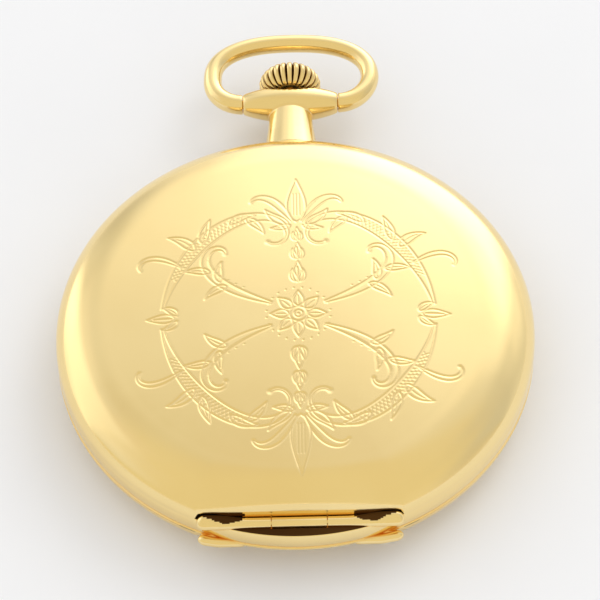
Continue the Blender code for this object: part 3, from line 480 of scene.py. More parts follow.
class Engraving:
    """Depth map of lines cut in a plane, drawn about the centre (cx, cy)."""
    CELL = 0.05

    def __init__(self, cx, cy, half_w, half_h):
        self.cx, self.cy = cx, cy
        self.x0, self.y0 = cx - half_w, cy - half_h
        self.nx, self.ny = int(2 * half_w / self.CELL), int(2 * half_h / self.CELL)
        self.map = np.zeros((self.ny, self.nx))

    def grid(self, x, y):
        return (x - self.x0) / self.CELL, (y - self.y0) / self.CELL

    def cut(self, points, width, depth):
        """A V-shaped groove along points."""
        points = np.asarray(points, float)
        lengths = np.linalg.norm(np.diff(points, axis=0), axis=1)
        run = np.concatenate([[0], np.cumsum(lengths)])
        t = np.linspace(0, run[-1], max(2, int(run[-1] / 0.03) + 1))
        gx, gy = self.grid(np.interp(t, run, points[:, 0]) + self.cx,
                           np.interp(t, run, points[:, 1]) + self.cy)
        ix, iy = np.round(gx).astype(int), np.round(gy).astype(int)
        reach = int(math.ceil(width / self.CELL)) + 1
        for oy in range(-reach, reach + 1):
            for ox in range(-reach, reach + 1):
                jx, jy = ix + ox, iy + oy
                inside = (jx >= 0) & (jy >= 0) & (jx < self.nx) & (jy < self.ny)
                away = np.hypot((jx - gx) * self.CELL, (jy - gy) * self.CELL) / width
                value = depth * np.clip(1 - away, 0, 1)
                np.maximum.at(self.map, (jy[inside], jx[inside]), value[inside])

    def at(self, x, y):
        """Depth at a place, interpolated between cells."""
        gx, gy = self.grid(x, y)
        ix, iy = np.floor(gx).astype(int), np.floor(gy).astype(int)
        inside = (ix >= 0) & (iy >= 0) & (ix < self.nx - 1) & (iy < self.ny - 1)
        ix, iy = np.clip(ix, 0, self.nx - 2), np.clip(iy, 0, self.ny - 2)
        fx, fy = np.clip(gx - ix, 0, 1), np.clip(gy - iy, 0, 1)
        low = self.map[iy, ix] * (1 - fx) + self.map[iy, ix + 1] * fx
        high = self.map[iy + 1, ix] * (1 - fx) + self.map[iy + 1, ix + 1] * fx
        return np.where(inside, low * (1 - fy) + high * fy, 0)

    def mirrored(self, points, width=LINE, depth=DEPTH, flips=QUARTERS):
        for flip in flips:
            self.cut(np.asarray(points) * flip, width, depth)

    def ring(self, r, count, width):
        points = circle(r, count)
        self.cut(points + points[:1], width, DEPTH)

    def dot(self, place, width, depth=DEPTH, flips=QUARTERS, step=(DOT_STEP, 0)):
        self.mirrored([place, np.asarray(place) + step], width, depth, flips)

    def leaf(self, start, heading, length, width, bend, flips=QUARTERS, vein=True):
        *edges, middle = leaf_outline(start, heading, length, width, bend)
        for edge in edges:
            self.mirrored(edge, flips=flips)
        if vein:
            self.mirrored(middle[3:-7], 0.10, DEPTH * 0.7, flips)

    def ribbon(self, points, width, hatched=None, flips=QUARTERS):
        """A scroll between two edges, with a shade line or cross-hatching over a range."""
        for edge in sides(points, width):
            self.mirrored(edge, flips=flips)
        left, right = sides(points, width * 0.62)
        if hatched is None:
            self.mirrored(left[5:-30], 0.09, DEPTH * 0.6, flips)
            return
        start, end = (int(share * len(points)) for share in hatched)
        for k in range(start, end, 3):
            for stroke in ([left[k], right[k + 4]], [right[k], left[k + 4]]):
                self.mirrored(stroke, 0.085, DEPTH * 0.62, flips)


def engrave_scrolls(art):
    # large scroll of each quarter, from the side axis up to its volute
    large = walk((14.6, 1.3), 100, 24.5, lambda t: 0.055 + 0.95 * t ** 5, 150)
    art.ribbon(large, swell(151, 0.12, 0.72, power=1.2, stretch=1.12), hatched=(0.16, 0.62))
    art.dot(large[-1], 0.42)
    # counter scroll springing from the rosette and rolling under the large one
    counter = walk((2.9, 1.5), 20, 13.5, lambda t: 0.02 + 0.16 * t + 1.35 * t ** 5, 110)
    art.ribbon(counter, swell(111, 0.10, 0.42, power=0.9))
    art.dot(counter[-1], 0.36)
    tendril = walk(large[36], 40, 6.0, lambda t: -0.12 - 1.5 * t ** 3, 60)
    art.ribbon(tendril, swell(61, 0.07, 0.2))
    art.dot(tendril[-1], 0.28)
    # leaves along the scrolls: start, heading, length, width, bend
    for leaf in (
        (large[52], 62, 3.6, 0.62, -0.9),
        (large[60], 96, 3.4, 0.55, 0.3),
        (large[84], 130, 3.2, 0.55, 0.9),
        (large[96], -150, 3.0, 0.5, 0.6),
        (counter[44], -14, 2.9, 0.5, -0.7),
        (counter[52], 74, 2.8, 0.48, 0.7),
        (counter[66], 20, 2.8, 0.48, -0.5),
    ):
        art.leaf(*leaf)
    for k in (26, 34, 42, 50):
        art.dot(counter[k] + (0.0, 0.95), 0.11, DEPTH * 0.9, step=(DOT_STEP, DOT_STEP))


def engrave_side_palmettes(art):
    *edges, middle = leaf_outline((13.3, 0), 0, 3.0, 0.62)
    for line in (*edges, middle[3:-6]):
        art.mirrored(line, LINE * 0.9, flips=LEFT_RIGHT)
    art.leaf((13.0, 0.35), 58, 2.0, 0.42, -0.8)


def engrave_rosette(art):
    for k in range(8):
        *edges, middle = leaf_outline(polar(1.05, 45 * k), 45 * k, 1.95, 0.62)
        for edge in edges:
            art.cut(edge, LINE, DEPTH)
        art.cut(middle[4:-8], 0.09, DEPTH * 0.7)
    art.ring(r=0.95, count=40, width=LINE)
    art.ring(r=0.45, count=30, width=0.12)
    art.dot((0, 0), 0.25, flips=ONCE)
    for k in range(24):
        place = polar(3.45, 15 * k + 7.5)
        art.cut([place, place + Vector((DOT_STEP, 0))], 0.12, DEPTH)


def engrave_husks(art):
    """Leaves up and down the middle."""
    for y, length, width in ((4.2, 2.9, 0.62), (7.3, 2.4, 0.52), (9.9, 1.9, 0.42)):
        *edges, middle = leaf_outline((0, y), 90, length, width)
        for line in (*edges, middle[4:-8]):
            art.mirrored(line, LINE * 0.85, flips=UP_DOWN)
        art.leaf((0.15, y + 0.1), 52, length * 0.62, width * 0.6, 0.9, vein=False)


def engrave_finials(art):
    """At each end a pointed leaf between pairs of curled ones."""
    for sy, tip in ((1, 18.9), (-1, 19.6)):
        once, pair = ((1, sy),), ((1, sy), (-1, sy))
        *edges, middle = leaf_outline((0, 12.6), 90, tip - 12.6, 1.15)
        for edge in edges:
            art.mirrored(edge, flips=once)
        for offset in (-0.35, 0, 0.35):
            art.mirrored(middle[4:-9] + (offset, 0), 0.085, DEPTH * 0.6, once)
        curl = walk((0.5, 12.7), 62, 6.4, lambda t: -0.05 - 1.2 * t ** 3, 60)
        art.ribbon(curl, swell(61, 0.1, 0.34), flips=pair)
        art.dot(curl[-1], 0.3, flips=pair)
        art.leaf((0.9, 12.4), 18, 3.3, 0.55, 0.7, pair)
        art.leaf((0.7, 12.1), -22, 2.2, 0.4, 0.4, pair)


def arabesque():
    art = Engraving(cx=0.4, cy=-1.1, half_w=18.5, half_h=21.5)
    engrave_scrolls(art)
    engrave_side_palmettes(art)
    engrave_rosette(art)
    engrave_husks(art)
    engrave_finials(art)
    return art


# ---------------------------------------------------------------- covers
PULL_R = 15.0       # outside this radius a cover is drawn in to its straight edge
NOTCH_TURN = 0.9    # the notch reshapes the shoulder up to this angle of its ellipse


def notch(x):
    """Height by which the lid's lower edge is cut away above the outer knuckles."""
    x = np.abs(x)
    return 0.86 * smoothstep((x - 5.2) / 4.2) * (1 - smoothstep((x - 10.55) / 0.5))


def rim(angle):
    """Radius of a cover's edge: a circle cut straight on the hinge side."""
    return np.minimum(CASE_R, COVER_EDGE_Y / np.maximum(-np.sin(angle), 0.3))


def drawn_in(r, angle):
    t = np.clip((r - PULL_R) / (CASE_R - PULL_R), 0, 1)
    return r - (CASE_R - rim(angle)) * t * t


def skin_height(r, shoulder_h, apex, flat_r):
    """Height of the outer skin above the cover's edge."""
    join_h = shoulder_h * math.sin(SHOULDER_TURN)
    rise = (apex - join_h) * (np.clip(r - flat_r, 0, None) / (DOME_R - flat_r)) ** 2
    k = np.clip((r - SHOULDER_R) / SHOULDER_REACH, -1, 1)
    shoulder = shoulder_h * np.sqrt(np.clip(1 - k * k, 0, 1))
    blend = smoothstep((r - (DOME_R - 1.2)) / 2.4)
    return (apex - rise) * (1 - blend) + shoulder * blend


def ring_radii(steps):
    """Radii from the middle out: even over the dome, then following the shoulder's arc."""
    on_dome = int(steps * 0.86)
    inner = np.linspace(0, DOME_R, on_dome + 1)
    turns = np.linspace(SHOULDER_TURN, 0, steps - on_dome + 1)[1:]
    return np.concatenate([inner, SHOULDER_R + SHOULDER_REACH * np.cos(turns)])


def square_rings(steps):
    """Ring number and angle of each point of a square grid seen as nested rings."""
    i = np.arange(-steps, steps + 1)
    gx, gy = np.meshgrid(i, i)
    ax, ay = np.abs(gx), np.abs(gy)
    beside = np.where(gx > 0, 0, np.pi) + np.pi / 4 * gy / np.where(gx == 0, 1, gx)
    above = (np.where(gy > 0, np.pi / 2, -np.pi / 2)
             - np.pi / 4 * gx / np.where(gy == 0, 1, gy))
    return np.maximum(ax, ay), np.where(ax >= ay, beside, above)


def raise_for_notch(r, angle, shoulder_h):
    """Moves the lowest rings up the shoulder, clear of the notch."""
    near = np.sin(angle) < -0.7
    turn = np.arccos(np.clip((r - SHOULDER_R) / SHOULDER_REACH, -1, 1))
    edge_h = notch(rim(angle) * np.cos(angle))
    low = np.where(near, np.arcsin(edge_h / shoulder_h), 0.0)
    raised = low + turn * (NOTCH_TURN - low) / NOTCH_TURN
    return np.where((r > SHOULDER_R) & (turn < NOTCH_TURN) & near,
                    SHOULDER_R + SHOULDER_REACH * np.cos(raised), r)


def inner_profile(shoulder_h, apex, flat_r):
    """Inner skin as (radius, height above the edge), from the edge in."""
    reach, height = SHOULDER_REACH - 0.75, shoulder_h - WALL
    profile = [(SHOULDER_R + reach + 0.02, 0.0)]
    for turn in np.linspace(0.12, 1, 9) * SHOULDER_TURN:
        profile.append((SHOULDER_R + reach * math.cos(turn), height * math.sin(turn)))
    join_h = shoulder_h * math.sin(SHOULDER_TURN)
    for f in np.linspace(0.9, 0, 9):
        profile.append((flat_r + (DOME_R - flat_r) * f, apex - WALL - (apex - join_h) * f * f))
    if flat_r > 0:
        profile.append((flat_r * 0.5, apex - WALL))
    else:
        profile.pop()   # the last station falls on the pole
    return profile


def cover(name, mat, steps, edge_z, up, shoulder_h, apex, flat_r,
          engraving=None, notched=False):
    """A hollow cover: a fine outer skin and an inner one with an eighth of its segments.

    up is 1 or -1, the side of edge_z to which it bulges."""
    ring, angle = square_rings(steps)
    r = ring_radii(steps)[ring]
    if notched:
        r = raise_for_notch(r, angle, shoulder_h)
    plan_r = drawn_in(r, angle)
    x, y = plan_r * np.cos(angle), plan_r * np.sin(angle)
    z = skin_height(r, shoulder_h, apex, flat_r)
    if engraving is not None:
        z = z - engraving.at(x, y)
    outer = np.stack([x, y, edge_z + up * z], -1).reshape(-1, 3)

    size = 2 * steps + 1
    ids = np.arange(size * size).reshape(size, size)
    faces = np.stack([ids[:-1, :-1], ids[:-1, 1:], ids[1:, 1:], ids[1:, :-1]],
                     -1).reshape(-1, 4).tolist()
    # outer edge, anticlockwise from azimuth -45 degrees
    loop = np.concatenate([ids[:-1, -1], ids[-1, :0:-1], ids[:0:-1, 0], ids[0, :-1]]).tolist()
    coarse = len(loop) // 8

    profile = inner_profile(shoulder_h, apex, flat_r)
    inner = []
    for radius, height in profile:
        for k in range(coarse):
            a = -math.pi / 4 + TAU * k / coarse
            plan = float(drawn_in(radius, a))
            px, py = plan * math.cos(a), plan * math.sin(a)
            lift = float(notch(px)) if notched and py < -20 else 0.0
            inner.append((px, py, edge_z + up * max(height, lift)))
    rings = (len(outer) + np.arange(len(inner)).reshape(len(profile), coarse)).tolist()
    pole = len(outer) + len(inner)
    inner.append((0, 0, edge_z + up * (apex - WALL)))

    # rim: eight outer edges fan onto each coarse one
    first = rings[0]
    for k in range(coarse):
        j = (k + 1) % coarse
        for s in range(8):
            corner = first[k] if s < 4 else first[j]
            faces.append([loop[8 * k + s], corner, loop[(8 * k + s + 1) % len(loop)]])
        faces.append([loop[8 * k + 4], first[k], first[j]])
    for p, q in zip(rings[:-1], rings[1:]):
        for k in range(coarse):
            j = (k + 1) % coarse
            faces.append([p[k], q[k], q[j], p[j]])
    for k in range(coarse):
        faces.append([rings[-1][k], pole, rings[-1][(k + 1) % coarse]])

    mesh = bpy.data.meshes.new(name)
    mesh.from_pydata((np.vstack([outer, np.array(inner)]) * MM).tolist(), [], faces)
    mesh.update()
    bm = bmesh.new()
    bm.from_mesh(mesh)
    bmesh.ops.recalc_face_normals(bm, faces=bm.faces)
    bm.to_mesh(mesh)
    bm.free()
    return finish_mesh(name, mesh, mat, sharp_angle=55)


def cover_knuckle(name, z):
    """The middle tube of a hinge. Merging it refreshes its normals once it is laid."""
    bm = turned(soft(tube(0.31, HINGE_R, -2.88, 2.88), 0.06), 40)
    return from_bm(name, merged(lay_x(bm, HINGE_Y, z)), mat_gold)


put(cover("lid_shell", mat_lid, steps=280, edge_z=BAND_Z1 + SEAM, up=1,
          shoulder_h=LID_SHOULDER_H, apex=LID_TOP_Z - BAND_Z1 - SEAM, flat_r=0.0,
          engraving=arabesque(), notched=True), "front_lid", "front_lid")
put(cover("rear_cover_shell", mat_gold, steps=120, edge_z=BAND_Z0 - SEAM, up=-1,
          shoulder_h=REAR_SHOULDER_H, apex=BAND_Z0 - SEAM, flat_r=REAR_FLAT_R),
    "rear_cover", "rear_cover")
put(cover_knuckle("lid_knuckle", LID_HINGE_Z), "front_lid")
put(cover_knuckle("rear_cover_knuckle", REAR_HINGE_Z), "rear_cover")


# ---------------------------------------------------------------- band
LID_GAP_X, REAR_GAP_X = 2.97, 5.27      # half-length of the gap between outer knuckles
KNUCKLE_CAP = 0.85                      # length of a knuckle's rounded end


def outer_knuckle(side, x_in, x_end, rear):
    """A knuckle of the band, on the +X or -X side of a hinge."""
    axis_z = REAR_HINGE_Z if rear else LID_HINGE_Z
    cap_x = x_end - KNUCKLE_CAP
    stations = np.concatenate([[x_in, x_in + 0.05], np.linspace(x_in + 0.4, cap_x, 26),
                               cap_x + KNUCKLE_CAP * np.sin(np.linspace(0.15, 1.45, 9))])
    angles = [TAU * i / 36 for i in range(36)]
    rings = []
    for x in stations:
        in_cap = max(0.0, (x - cap_x) / KNUCKLE_CAP)
        shrink = math.sqrt(1 - in_cap * in_cap) * (0.92 if x < x_in + 0.02 else 1.0)
        if rear:
            # the tube shifts down and outward towards its end
            shift = float(smoothstep((x - 5.15) / 0.9))
            shift *= 1 - 0.5 * float(smoothstep((x - 8.2) / 2.6))
            cy, cz = -0.50 * shift, -0.34 * shift
            radii = [HINGE_R - 0.02] * 36
        else:
            # the tube spreads into a flat leaf reaching in over the band
            spread = float(smoothstep((x - 5.0) / 4.6))
            cy, cz = 0.0, 0.0
            radii = [HINGE_R + 0.46 * spread * (0.5 + 0.5 * math.cos(a - 0.80)) ** 5
                     for a in angles]
        rings.append([(side * x,
                       HINGE_Y + cy + r * math.cos(a) * shrink,
                       axis_z + cz + r * math.sin(a) * shrink)
                      for r, a in zip(radii, angles)])
    bm = loft(rings)
    bmesh.ops.recalc_face_normals(bm, faces=bm.faces)
    return bm


def band_ring():
    """A ring with a rounded bead outside and a low ridge above and below."""
    bead = [(CASE_R - 0.22 + 0.22 * math.cos(a), 5.925 + 1.12 * math.sin(a))
            for a in np.linspace(-1.1, 1.45, 15)]
    lower = [(21.8, BAND_Z0), (24.5, BAND_Z0), (24.5, 4.42), (24.55, 4.40), (25.0, 4.40),
             (25.05, 4.45), (25.05, BAND_Z0), (25.93, 4.712), (25.985, 4.76)]
    upper = [(25.05, BAND_Z1), (25.05, 7.40), (25.0, 7.45), (24.55, 7.45), (24.5, 7.40),
             (24.5, BAND_Z1), (21.8, BAND_Z1)]
    return turned(lower + bead + upper, 320)


def in_seam_shade(centre):
    """Whether a face, by its centre, lies in the recesses beside the bead or at the hinge,
    which get dark painted shade.
    """
    x, y, z = centre
    radius = math.hypot(x, y)
    to_lid_hinge = math.hypot(y - HINGE_Y, z - LID_HINGE_Z)
    to_rear_hinge = math.hypot(y - HINGE_Y, z - REAR_HINGE_Z)
    in_recess = (radius < 25.79 and (z > 7.03 or z < 4.8)
                 and to_lid_hinge > 0.63 and to_rear_hinge > 0.63)
    at_hinge = radius < 25.7 and y < -23 and z > 7.0 and to_lid_hinge > 1.2
    return in_recess or at_hinge


def band_body():
    bm = band_ring()
    # the ridges give way to the hinges
    for z0, z1 in ((BAND_Z1 - 0.01, BAND_Z1 + 1), (BAND_Z0 - 1, BAND_Z0 + 0.01)):
        bm = cut(bm, block(-12.6, 12.6, -26.6, -21.0, z0, z1))
    for side, lid_end, rear_end in ((1, 10.95, 10.9), (-1, 10.75, 10.7)):
        bm = boolean(bm, outer_knuckle(side, 2.85, lid_end, rear=False), "UNION")
        bm = boolean(bm, outer_knuckle(side, 5.15, rear_end, rear=True), "UNION")
    for gap, z in ((LID_GAP_X, LID_HINGE_Z), (REAR_GAP_X, REAR_HINGE_Z)):
        bm = cut(bm, lay_x(turned(tube(0, HINGE_R + 0.08, -gap, gap), 40), HINGE_Y, z))
    bm = cut(bm, lay_y(turned(tube(0, 1.15, 20, 28), 32, offset=0.5)))
    body = from_bm("band_body", bm, mat_gold, sharp_angle=35)
    # the recess faces take the dark material: painted shade in the seams and at the hinge
    body.data.materials.append(mat_seam_shade)
    for face in body.data.polygons:
        if in_seam_shade(face.center / MM):
            face.material_index = 1
    return body


def band_lip():
    """A short lip under the bead, at the hinge."""
    profile = [(25.2, 4.30), (25.72, 4.30), (25.96, 4.50), (25.95, 4.67), (25.2, 4.67)]
    window = block(-7.32, 7.32, -27.0, -24.95, 3.9, 5.2)
    lip = boolean(turned(soft(profile, 0.06), 320), window, "INTERSECT")
    return from_bm("band_lip", lip, mat_gold)


put(band_body(), "case", "case_band")
put(band_lip(), "case")


# ---------------------------------------------------------------- pendant
HEAD_HALF = 5.45                        # half-length of the head across X
HEAD_END_R, HEAD_MID_R = 1.13, 2.15
STEM_BORE_R = 0.74


def pendant_head():
    """A spindle across X."""
    profile = [(0, -HEAD_HALF)]
    for i in range(33):
        x = -HEAD_HALF + 2 * HEAD_HALF * i / 32
        bulge = max(0.0, math.cos(math.pi / 2 * x / HEAD_HALF)) ** 0.8
        profile.append((HEAD_END_R + (HEAD_MID_R - HEAD_END_R) * bulge, x))
    profile.append((0, HEAD_HALF))
    return lay_x(turned(soft(profile, 0.10), 64), HEAD_Y, STEM_Z)


def pendant_neck():
    """A tapering neck, flattened in Z and cut to the curve of the case."""
    neck = turned([(0, 25.6), (3.06, 25.6), (3.03, 26.2), (2.86, 27.4), (2.72, 28.4),
                   (2.60, 29.4), (2.50, 30.4), (2.42, 31.4), (2.2, 32.6), (0, 32.8)], 96)
    neck.transform(Matrix.Diagonal((1, 0.68, 1, 1)))
    return cut(lay_y(neck), turned(tube(0, 26.07, -2, 14), 240))


def pendant_body():
    head = pendant_head()
    body = remeshed(merged(head, pendant_neck()), voxel=0.075, smooth_steps=10)
    # bowl under the crown
    bowl = [(0, 33.15)]
    bowl += [(r, 33.15 + 0.45 * (r / 2.3) ** 1.5) for r in np.linspace(0.3, 2.3, 12)]
    bowl += [(2.7, 33.76), (3.05, 33.96), (3.35, 34.22), (3.6, 34.55), (3.76, 34.9),
             (3.82, 35.3), (3.82, 40), (0, 40)]
    body = cut(body, lay_y(turned(bowl, 128)))
    # stepped bore along the stem
    bore = [(0, 24), (STEM_BORE_R, 24), (STEM_BORE_R, 27.2), (1.30, 27.25), (1.30, 36), (0, 36)]
    body = cut(body, lay_y(turned(bore, 48)))
    # holes for the pins of the bow
    holes = [lay_x(turned(tube(0, 0.58, start, end), 32), HEAD_Y, STEM_Z)
             for start, end in ((-8, -4.3), (4.3, 8))]
    body = cut(body, merged(*holes))
    spigot = lay_y(turned(soft(tube(STEM_BORE_R, 1.10, 24.65, 26.2), 0.05), 40))
    return from_bm("pendant_body", merged(body, spigot), mat_gold, sharp_angle=32)


put(pendant_body(), "case", "pendant")


# ---------------------------------------------------------------- bow
BOW_END_X, BOW_HALF_W = 5.50, 9.12
BOW_WIDE_Y, BOW_TOP_Y = 36.8, 42.2      # where the bow is widest, and its top
BOW_SPLIT = 0.3                         # share of the half path below the widest place
BOW_CHAMFER = 0.07


def bow_centre(t):
    """Centre line of the +X half: a quarter ellipse, then a squarer quarter."""
    if t < BOW_SPLIT:
        a = math.pi / 2 * (t / BOW_SPLIT)
        return (BOW_END_X + (BOW_HALF_W - BOW_END_X) * math.sin(a),
                BOW_WIDE_Y - (BOW_WIDE_Y - HEAD_Y) * math.cos(a))
    a = math.pi / 2 * (t - BOW_SPLIT) / 0.7
    return (BOW_HALF_W * math.cos(a) ** (2 / 2.4),
            BOW_WIDE_Y + (BOW_TOP_Y - BOW_WIDE_Y) * math.sin(a) ** (2 / 2.4))


def bow_path():
    stations = np.concatenate([np.linspace(0, BOW_SPLIT, 22)[:-1],
                               np.linspace(BOW_SPLIT, 0.94, 34), [0.965, 0.985]])
    half = [bow_centre(float(t)) for t in stations]
    path = np.array([(-x, y) for x, y in half] + [(0.0, BOW_TOP_Y)] + half[::-1])
    for _ in range(3):
        path[1:-1] = 0.25 * path[:-2] + 0.5 * path[1:-1] + 0.25 * path[2:]
    # the bow leans slightly to +X
    path[:, 0] += 0.17 * np.clip((path[:, 1] - 33.4) / 3.4, 0, 1) ** 1.5
    return path


def bow_rod():
    path = bow_path()
    along = np.gradient(path, axis=0)
    along /= np.linalg.norm(along, axis=1)[:, None]
    along[0] = along[-1] = (-1, 0)
    run = np.concatenate([[0], np.cumsum(np.linalg.norm(np.diff(path, axis=0), axis=1))])
    angles = [TAU * i / 40 for i in range(40)]
    rings = []
    for k, (x, y) in enumerate(path):
        from_end = min(run[k], run[-1] - run[k])
        r = 1.045 + 0.085 * math.exp(-(from_end / 3.6) ** 2)
        # rings at this station: radius and shift along the path
        if k == 0:
            sections = [(r - BOW_CHAMFER, 0.0), (r, BOW_CHAMFER)]
        elif k == len(path) - 1:
            sections = [(r, -BOW_CHAMFER), (r - BOW_CHAMFER, 0.0)]
        else:
            sections = [(r, 0.0)]
        tx, ty = along[k]
        for radius, shift in sections:
            px, py = x + tx * shift, y + ty * shift
            rings.append([(px + radius * math.cos(a) * -ty,
                           py + radius * math.cos(a) * tx,
                           STEM_Z + radius * math.sin(a)) for a in angles])
    bow = loft(rings)
    bmesh.ops.recalc_face_normals(bow, faces=bow.faces)
    pins = [lay_x(turned(soft(tube(0, 0.5, start, end), 0.06), 32), HEAD_Y, STEM_Z)
            for start, end in ((-5.8, -4.55), (4.55, 5.8))]
    return from_bm("bow_rod", merged(bow, *pins), mat_gold, sharp_angle=50)


put(bow_rod(), "bow", "bow")


# ---------------------------------------------------------------- crown
FLUTES, FLUTE_STEPS = 26, 16
FLUTE_DEPTH = 0.62

# radius, y, share of the full flute depth
CROWN_SKIRT = [(1.5, 34.22, 0.0), (2.1, 34.2, 0.5), (2.40, 34.24, 0.8), (2.72, 34.42, 1.0),
               (3.02, 34.66, 1.0), (3.27, 34.95, 1.0), (3.45, 35.28, 1.0), (3.55, 35.65, 1.0)]
CROWN_TOP = [(0.95, 37.40, 0.2), (0.7, 37.41, 0.0)]


def crown_body():
    """A fluted knob on a short tube."""
    dome = []
    for f in np.linspace(0, 1, 16)[1:]:
        a = f * math.pi / 2
        dome.append((1.1 + 2.47 * math.cos(a) ** 0.8,
                     35.75 + (37.36 - 35.75) * math.sin(a), 1.0 - 0.35 * f ** 3))
    rings = []
    for r, y, share in CROWN_SKIRT + dome + CROWN_TOP:
        ring = []
        for i in range(FLUTES * FLUTE_STEPS):
            across = (i % FLUTE_STEPS) / FLUTE_STEPS * 2 - 1
            groove = 1 - math.sqrt(1 - abs(across) ** 2.4)
            fluted = r - FLUTE_DEPTH * share * groove * min(1.0, r / 3.2)
            a = TAU * i / (FLUTES * FLUTE_STEPS)
            ring.append((fluted * math.cos(a), fluted * math.sin(a), y))
        rings.append(ring)
    sleeve = turned(soft(tube(0.66, 1.15, 33.68, 34.6), 0.05), 40)
    return from_bm("crown_body", lay_y(merged(loft(rings), sleeve)), mat_crown, sharp_angle=60)


put(crown_body(), "crown", "crown")

# ---------------------------------------------------------------- finishes of the frame nodes
by_slot = {
    "case_gold": mat_gold_in, "plate_nickel": mat_nickel, "wheel_brass": mat_brass,
    "steel": mat_steel, "blued_steel": mat_blued, "dial_enamel": mat_enamel,
    "crystal_glass": mat_glass,
}
for subpart in frame["record"]["subparts"]:
    materials = frame["nodes"][subpart["node"]].data.materials
    materials.clear()
    materials.append(by_slot[subpart["material_slot"]])


# ---------------------------------------------------------------- floor
def floor_paper():
    """Matt white paper, clear from below."""
    shader = Material("floor_paper")
    shader.fill(shader.surface, {
        "Base Color": shader.drift(shader.noise(scale=40),
                                   (0.90, 0.90, 0.905), (0.92, 0.92, 0.925)),
        "Roughness": 0.85,
        "Specular IOR Level": 0.15,
    })
    below = shader.node("NewGeometry").outputs["Backfacing"]
    clear = shader.node("BsdfTransparent")
    mixed = shader.mix_shader(below, shader.surface.outputs[0], clear.outputs[0])
    shader.fill(shader.output, {"Surface": mixed})
    return shader.material


def floor():
    bm = bmesh.new()
    bmesh.ops.create_grid(bm, x_segments=8, y_segments=8, size=900)
    mesh = bpy.data.meshes.new("floor")
    bm.transform(Matrix.Translation((0, 0, -0.02)))
    bm.transform(Matrix.Scale(MM, 4))
    bm.to_mesh(mesh)
    bm.free()
    mesh.materials.append(floor_paper())
    add_object("floor", mesh)


floor()

# ---------------------------------------------------------------- world
# Reflections are a set of columns across X. Each runs about the X axis from the +Y horizon
# (0 degrees) over the top to the -Y horizon (180), with a brightness or colour at each stop.
ARC_START, ARC_SPAN = -40, 220
STOPS = (-20, 10, 28, 43, 56, 68, 82, 100, 125, 165)
WARM = (0.84, 0.78, 0.60)
COLUMNS = (
    (-0.95, (1.2, 1.2, 1.3, 1.35, 1.3, 1.25, 1.15, 1.0, 0.9, WARM)),
    (-0.70, (1.3, 1.8, 1.75, 1.48, 1.35, 1.2, 1.05, (0.86, 0.81, 0.70), WARM, WARM)),
    (-0.58, (1.1, 0.80, 0.85, 0.98, 1.0, 0.85, (0.86, 0.80, 0.70), WARM, WARM, WARM)),
    (-0.42, (0.9, 0.66, 0.76, 0.88, 0.88, (0.78, 0.75, 0.68), (0.83, 0.78, 0.62),
             WARM, WARM, WARM)),
    (-0.20, (1.0, 1.0, 1.15, 1.08, 0.92, (0.78, 0.75, 0.66), (0.82, 0.76, 0.60),
             WARM, WARM, WARM)),
    (0.00, (1.6, 1.7, 1.65, 1.38, 0.98, (0.83, 0.80, 0.74), (0.82, 0.76, 0.60),
            WARM, WARM, WARM)),
    (0.20, (2.2, 2.7, 2.5, 1.85, 1.22, (0.87, 0.85, 0.82), (0.84, 0.78, 0.61),
            WARM, WARM, WARM)),
    (0.48, (1.9, 2.6, 2.4, 1.9, 1.25, 0.84, (0.83, 0.78, 0.64), WARM, WARM, WARM)),
    (0.72, (1.3, 0.95, 1.15, 1.08, 0.86, 0.74, (0.72, 0.70, 0.66), (0.79, 0.74, 0.6),
            WARM, (0.87, 0.81, 0.64))),
    (0.93, (1.1, 0.80, 0.80, 0.78, 0.74, 0.69, 0.68, 0.68, (0.70, 0.67, 0.60),
            (0.75, 0.70, 0.60))),
)


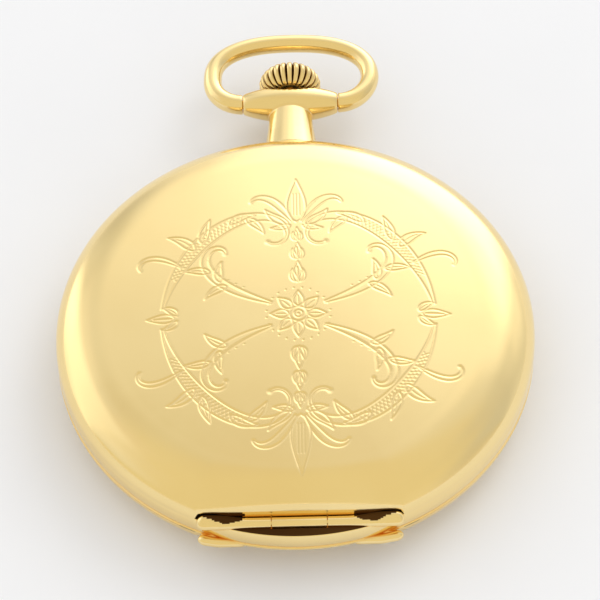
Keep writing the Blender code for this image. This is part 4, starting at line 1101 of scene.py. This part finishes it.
def studio_world():
    world = bpy.data.worlds.new("studio")
    bpy.context.scene.world = world
    world.use_nodes = True
    world.node_tree.nodes.clear()
    graph = Graph(world.node_tree)
    direction = graph.node("TexCoord").outputs["Generated"]
    axes = graph.node("SeparateXYZ", {0: direction}).outputs
    arc = graph.remap(graph.calc("ARCTAN2", axes["Z"], axes["Y"]),
                      source=(math.radians(ARC_START), math.radians(ARC_START + ARC_SPAN)))
    columns = []
    for x, values in COLUMNS:
        stops = [((stop - ARC_START) / ARC_SPAN, v if isinstance(v, tuple) else (v, v, v))
                 for stop, v in zip(STOPS, values)]
        columns.append((x, graph.ramp(arc, stops, interpolation="EASE")))
    last_x, colour = columns[0]
    for x, column in columns[1:]:
        across = graph.remap(axes["X"], source=(last_x, x), interpolation_type="SMOOTHSTEP")
        colour = graph.mix_colour(across, colour, column)
        last_x = x
    reflected = graph.node("Background", {"Color": colour})
    # even light for matt surfaces
    even = graph.node("Background", {"Color": (1.0, 1.0, 1.0, 1), "Strength": 0.93})
    is_glossy = graph.node("LightPath").outputs["Is Glossy Ray"]
    picked = graph.mix_shader(is_glossy, even.outputs[0], reflected.outputs[0])
    graph.node("OutputWorld", {0: picked})


def key_light():
    """A square softbox to the right and behind, left out of reflections."""
    light = bpy.data.lights.new("key_right", "AREA")
    light.shape = "RECTANGLE"
    light.size = light.size_y = 0.50
    light.energy = 1.1
    place = Vector((0.45, 0.45, 0.70))
    obj = add_object("key_right", light)
    obj.location = place
    obj.rotation_euler = (-place).to_track_quat("-Z", "Y").to_euler()
    obj.visible_glossy = False


studio_world()
key_light()

# ---------------------------------------------------------------- camera, metres
ELEVATION, AZIMUTH, ROLL = math.radians(55.0), math.radians(0.2), math.radians(-1.5)
CAMERA_DISTANCE = 0.330
AIM_RIGHT, AIM_UP = 0.0005016523, 0.004220423   # aim point from the middle of the case
FOCAL_LENGTH, SENSOR_WIDTH = 181.56, 36         # mm


def camera():
    to_camera = Vector((math.sin(AZIMUTH) * math.cos(ELEVATION),
                        -math.cos(AZIMUTH) * math.cos(ELEVATION), math.sin(ELEVATION)))
    level_right = Vector((math.cos(AZIMUTH), math.sin(AZIMUTH), 0))
    level_up = to_camera.cross(level_right)
    right = level_right * math.cos(ROLL) + level_up * math.sin(ROLL)
    up = -level_right * math.sin(ROLL) + level_up * math.cos(ROLL)
    middle = Vector((0, 0, STEM_Z * MM))
    eye = middle + to_camera * CAMERA_DISTANCE
    aim = middle + right * AIM_RIGHT + up * AIM_UP

    data = bpy.data.cameras.new("camera")
    data.lens = FOCAL_LENGTH
    data.sensor_width = SENSOR_WIDTH
    data.clip_start = 0.01
    data.clip_end = 10
    z_axis = (eye - aim).normalized()
    x_axis = up.cross(z_axis).normalized()
    pose = Matrix((x_axis, z_axis.cross(x_axis), z_axis)).transposed().to_4x4()
    pose.translation = eye
    obj = add_object("camera", data)
    obj.matrix_world = pose
    bpy.context.scene.camera = obj


camera()
bpy.context.scene.view_settings.view_transform = "Standard"
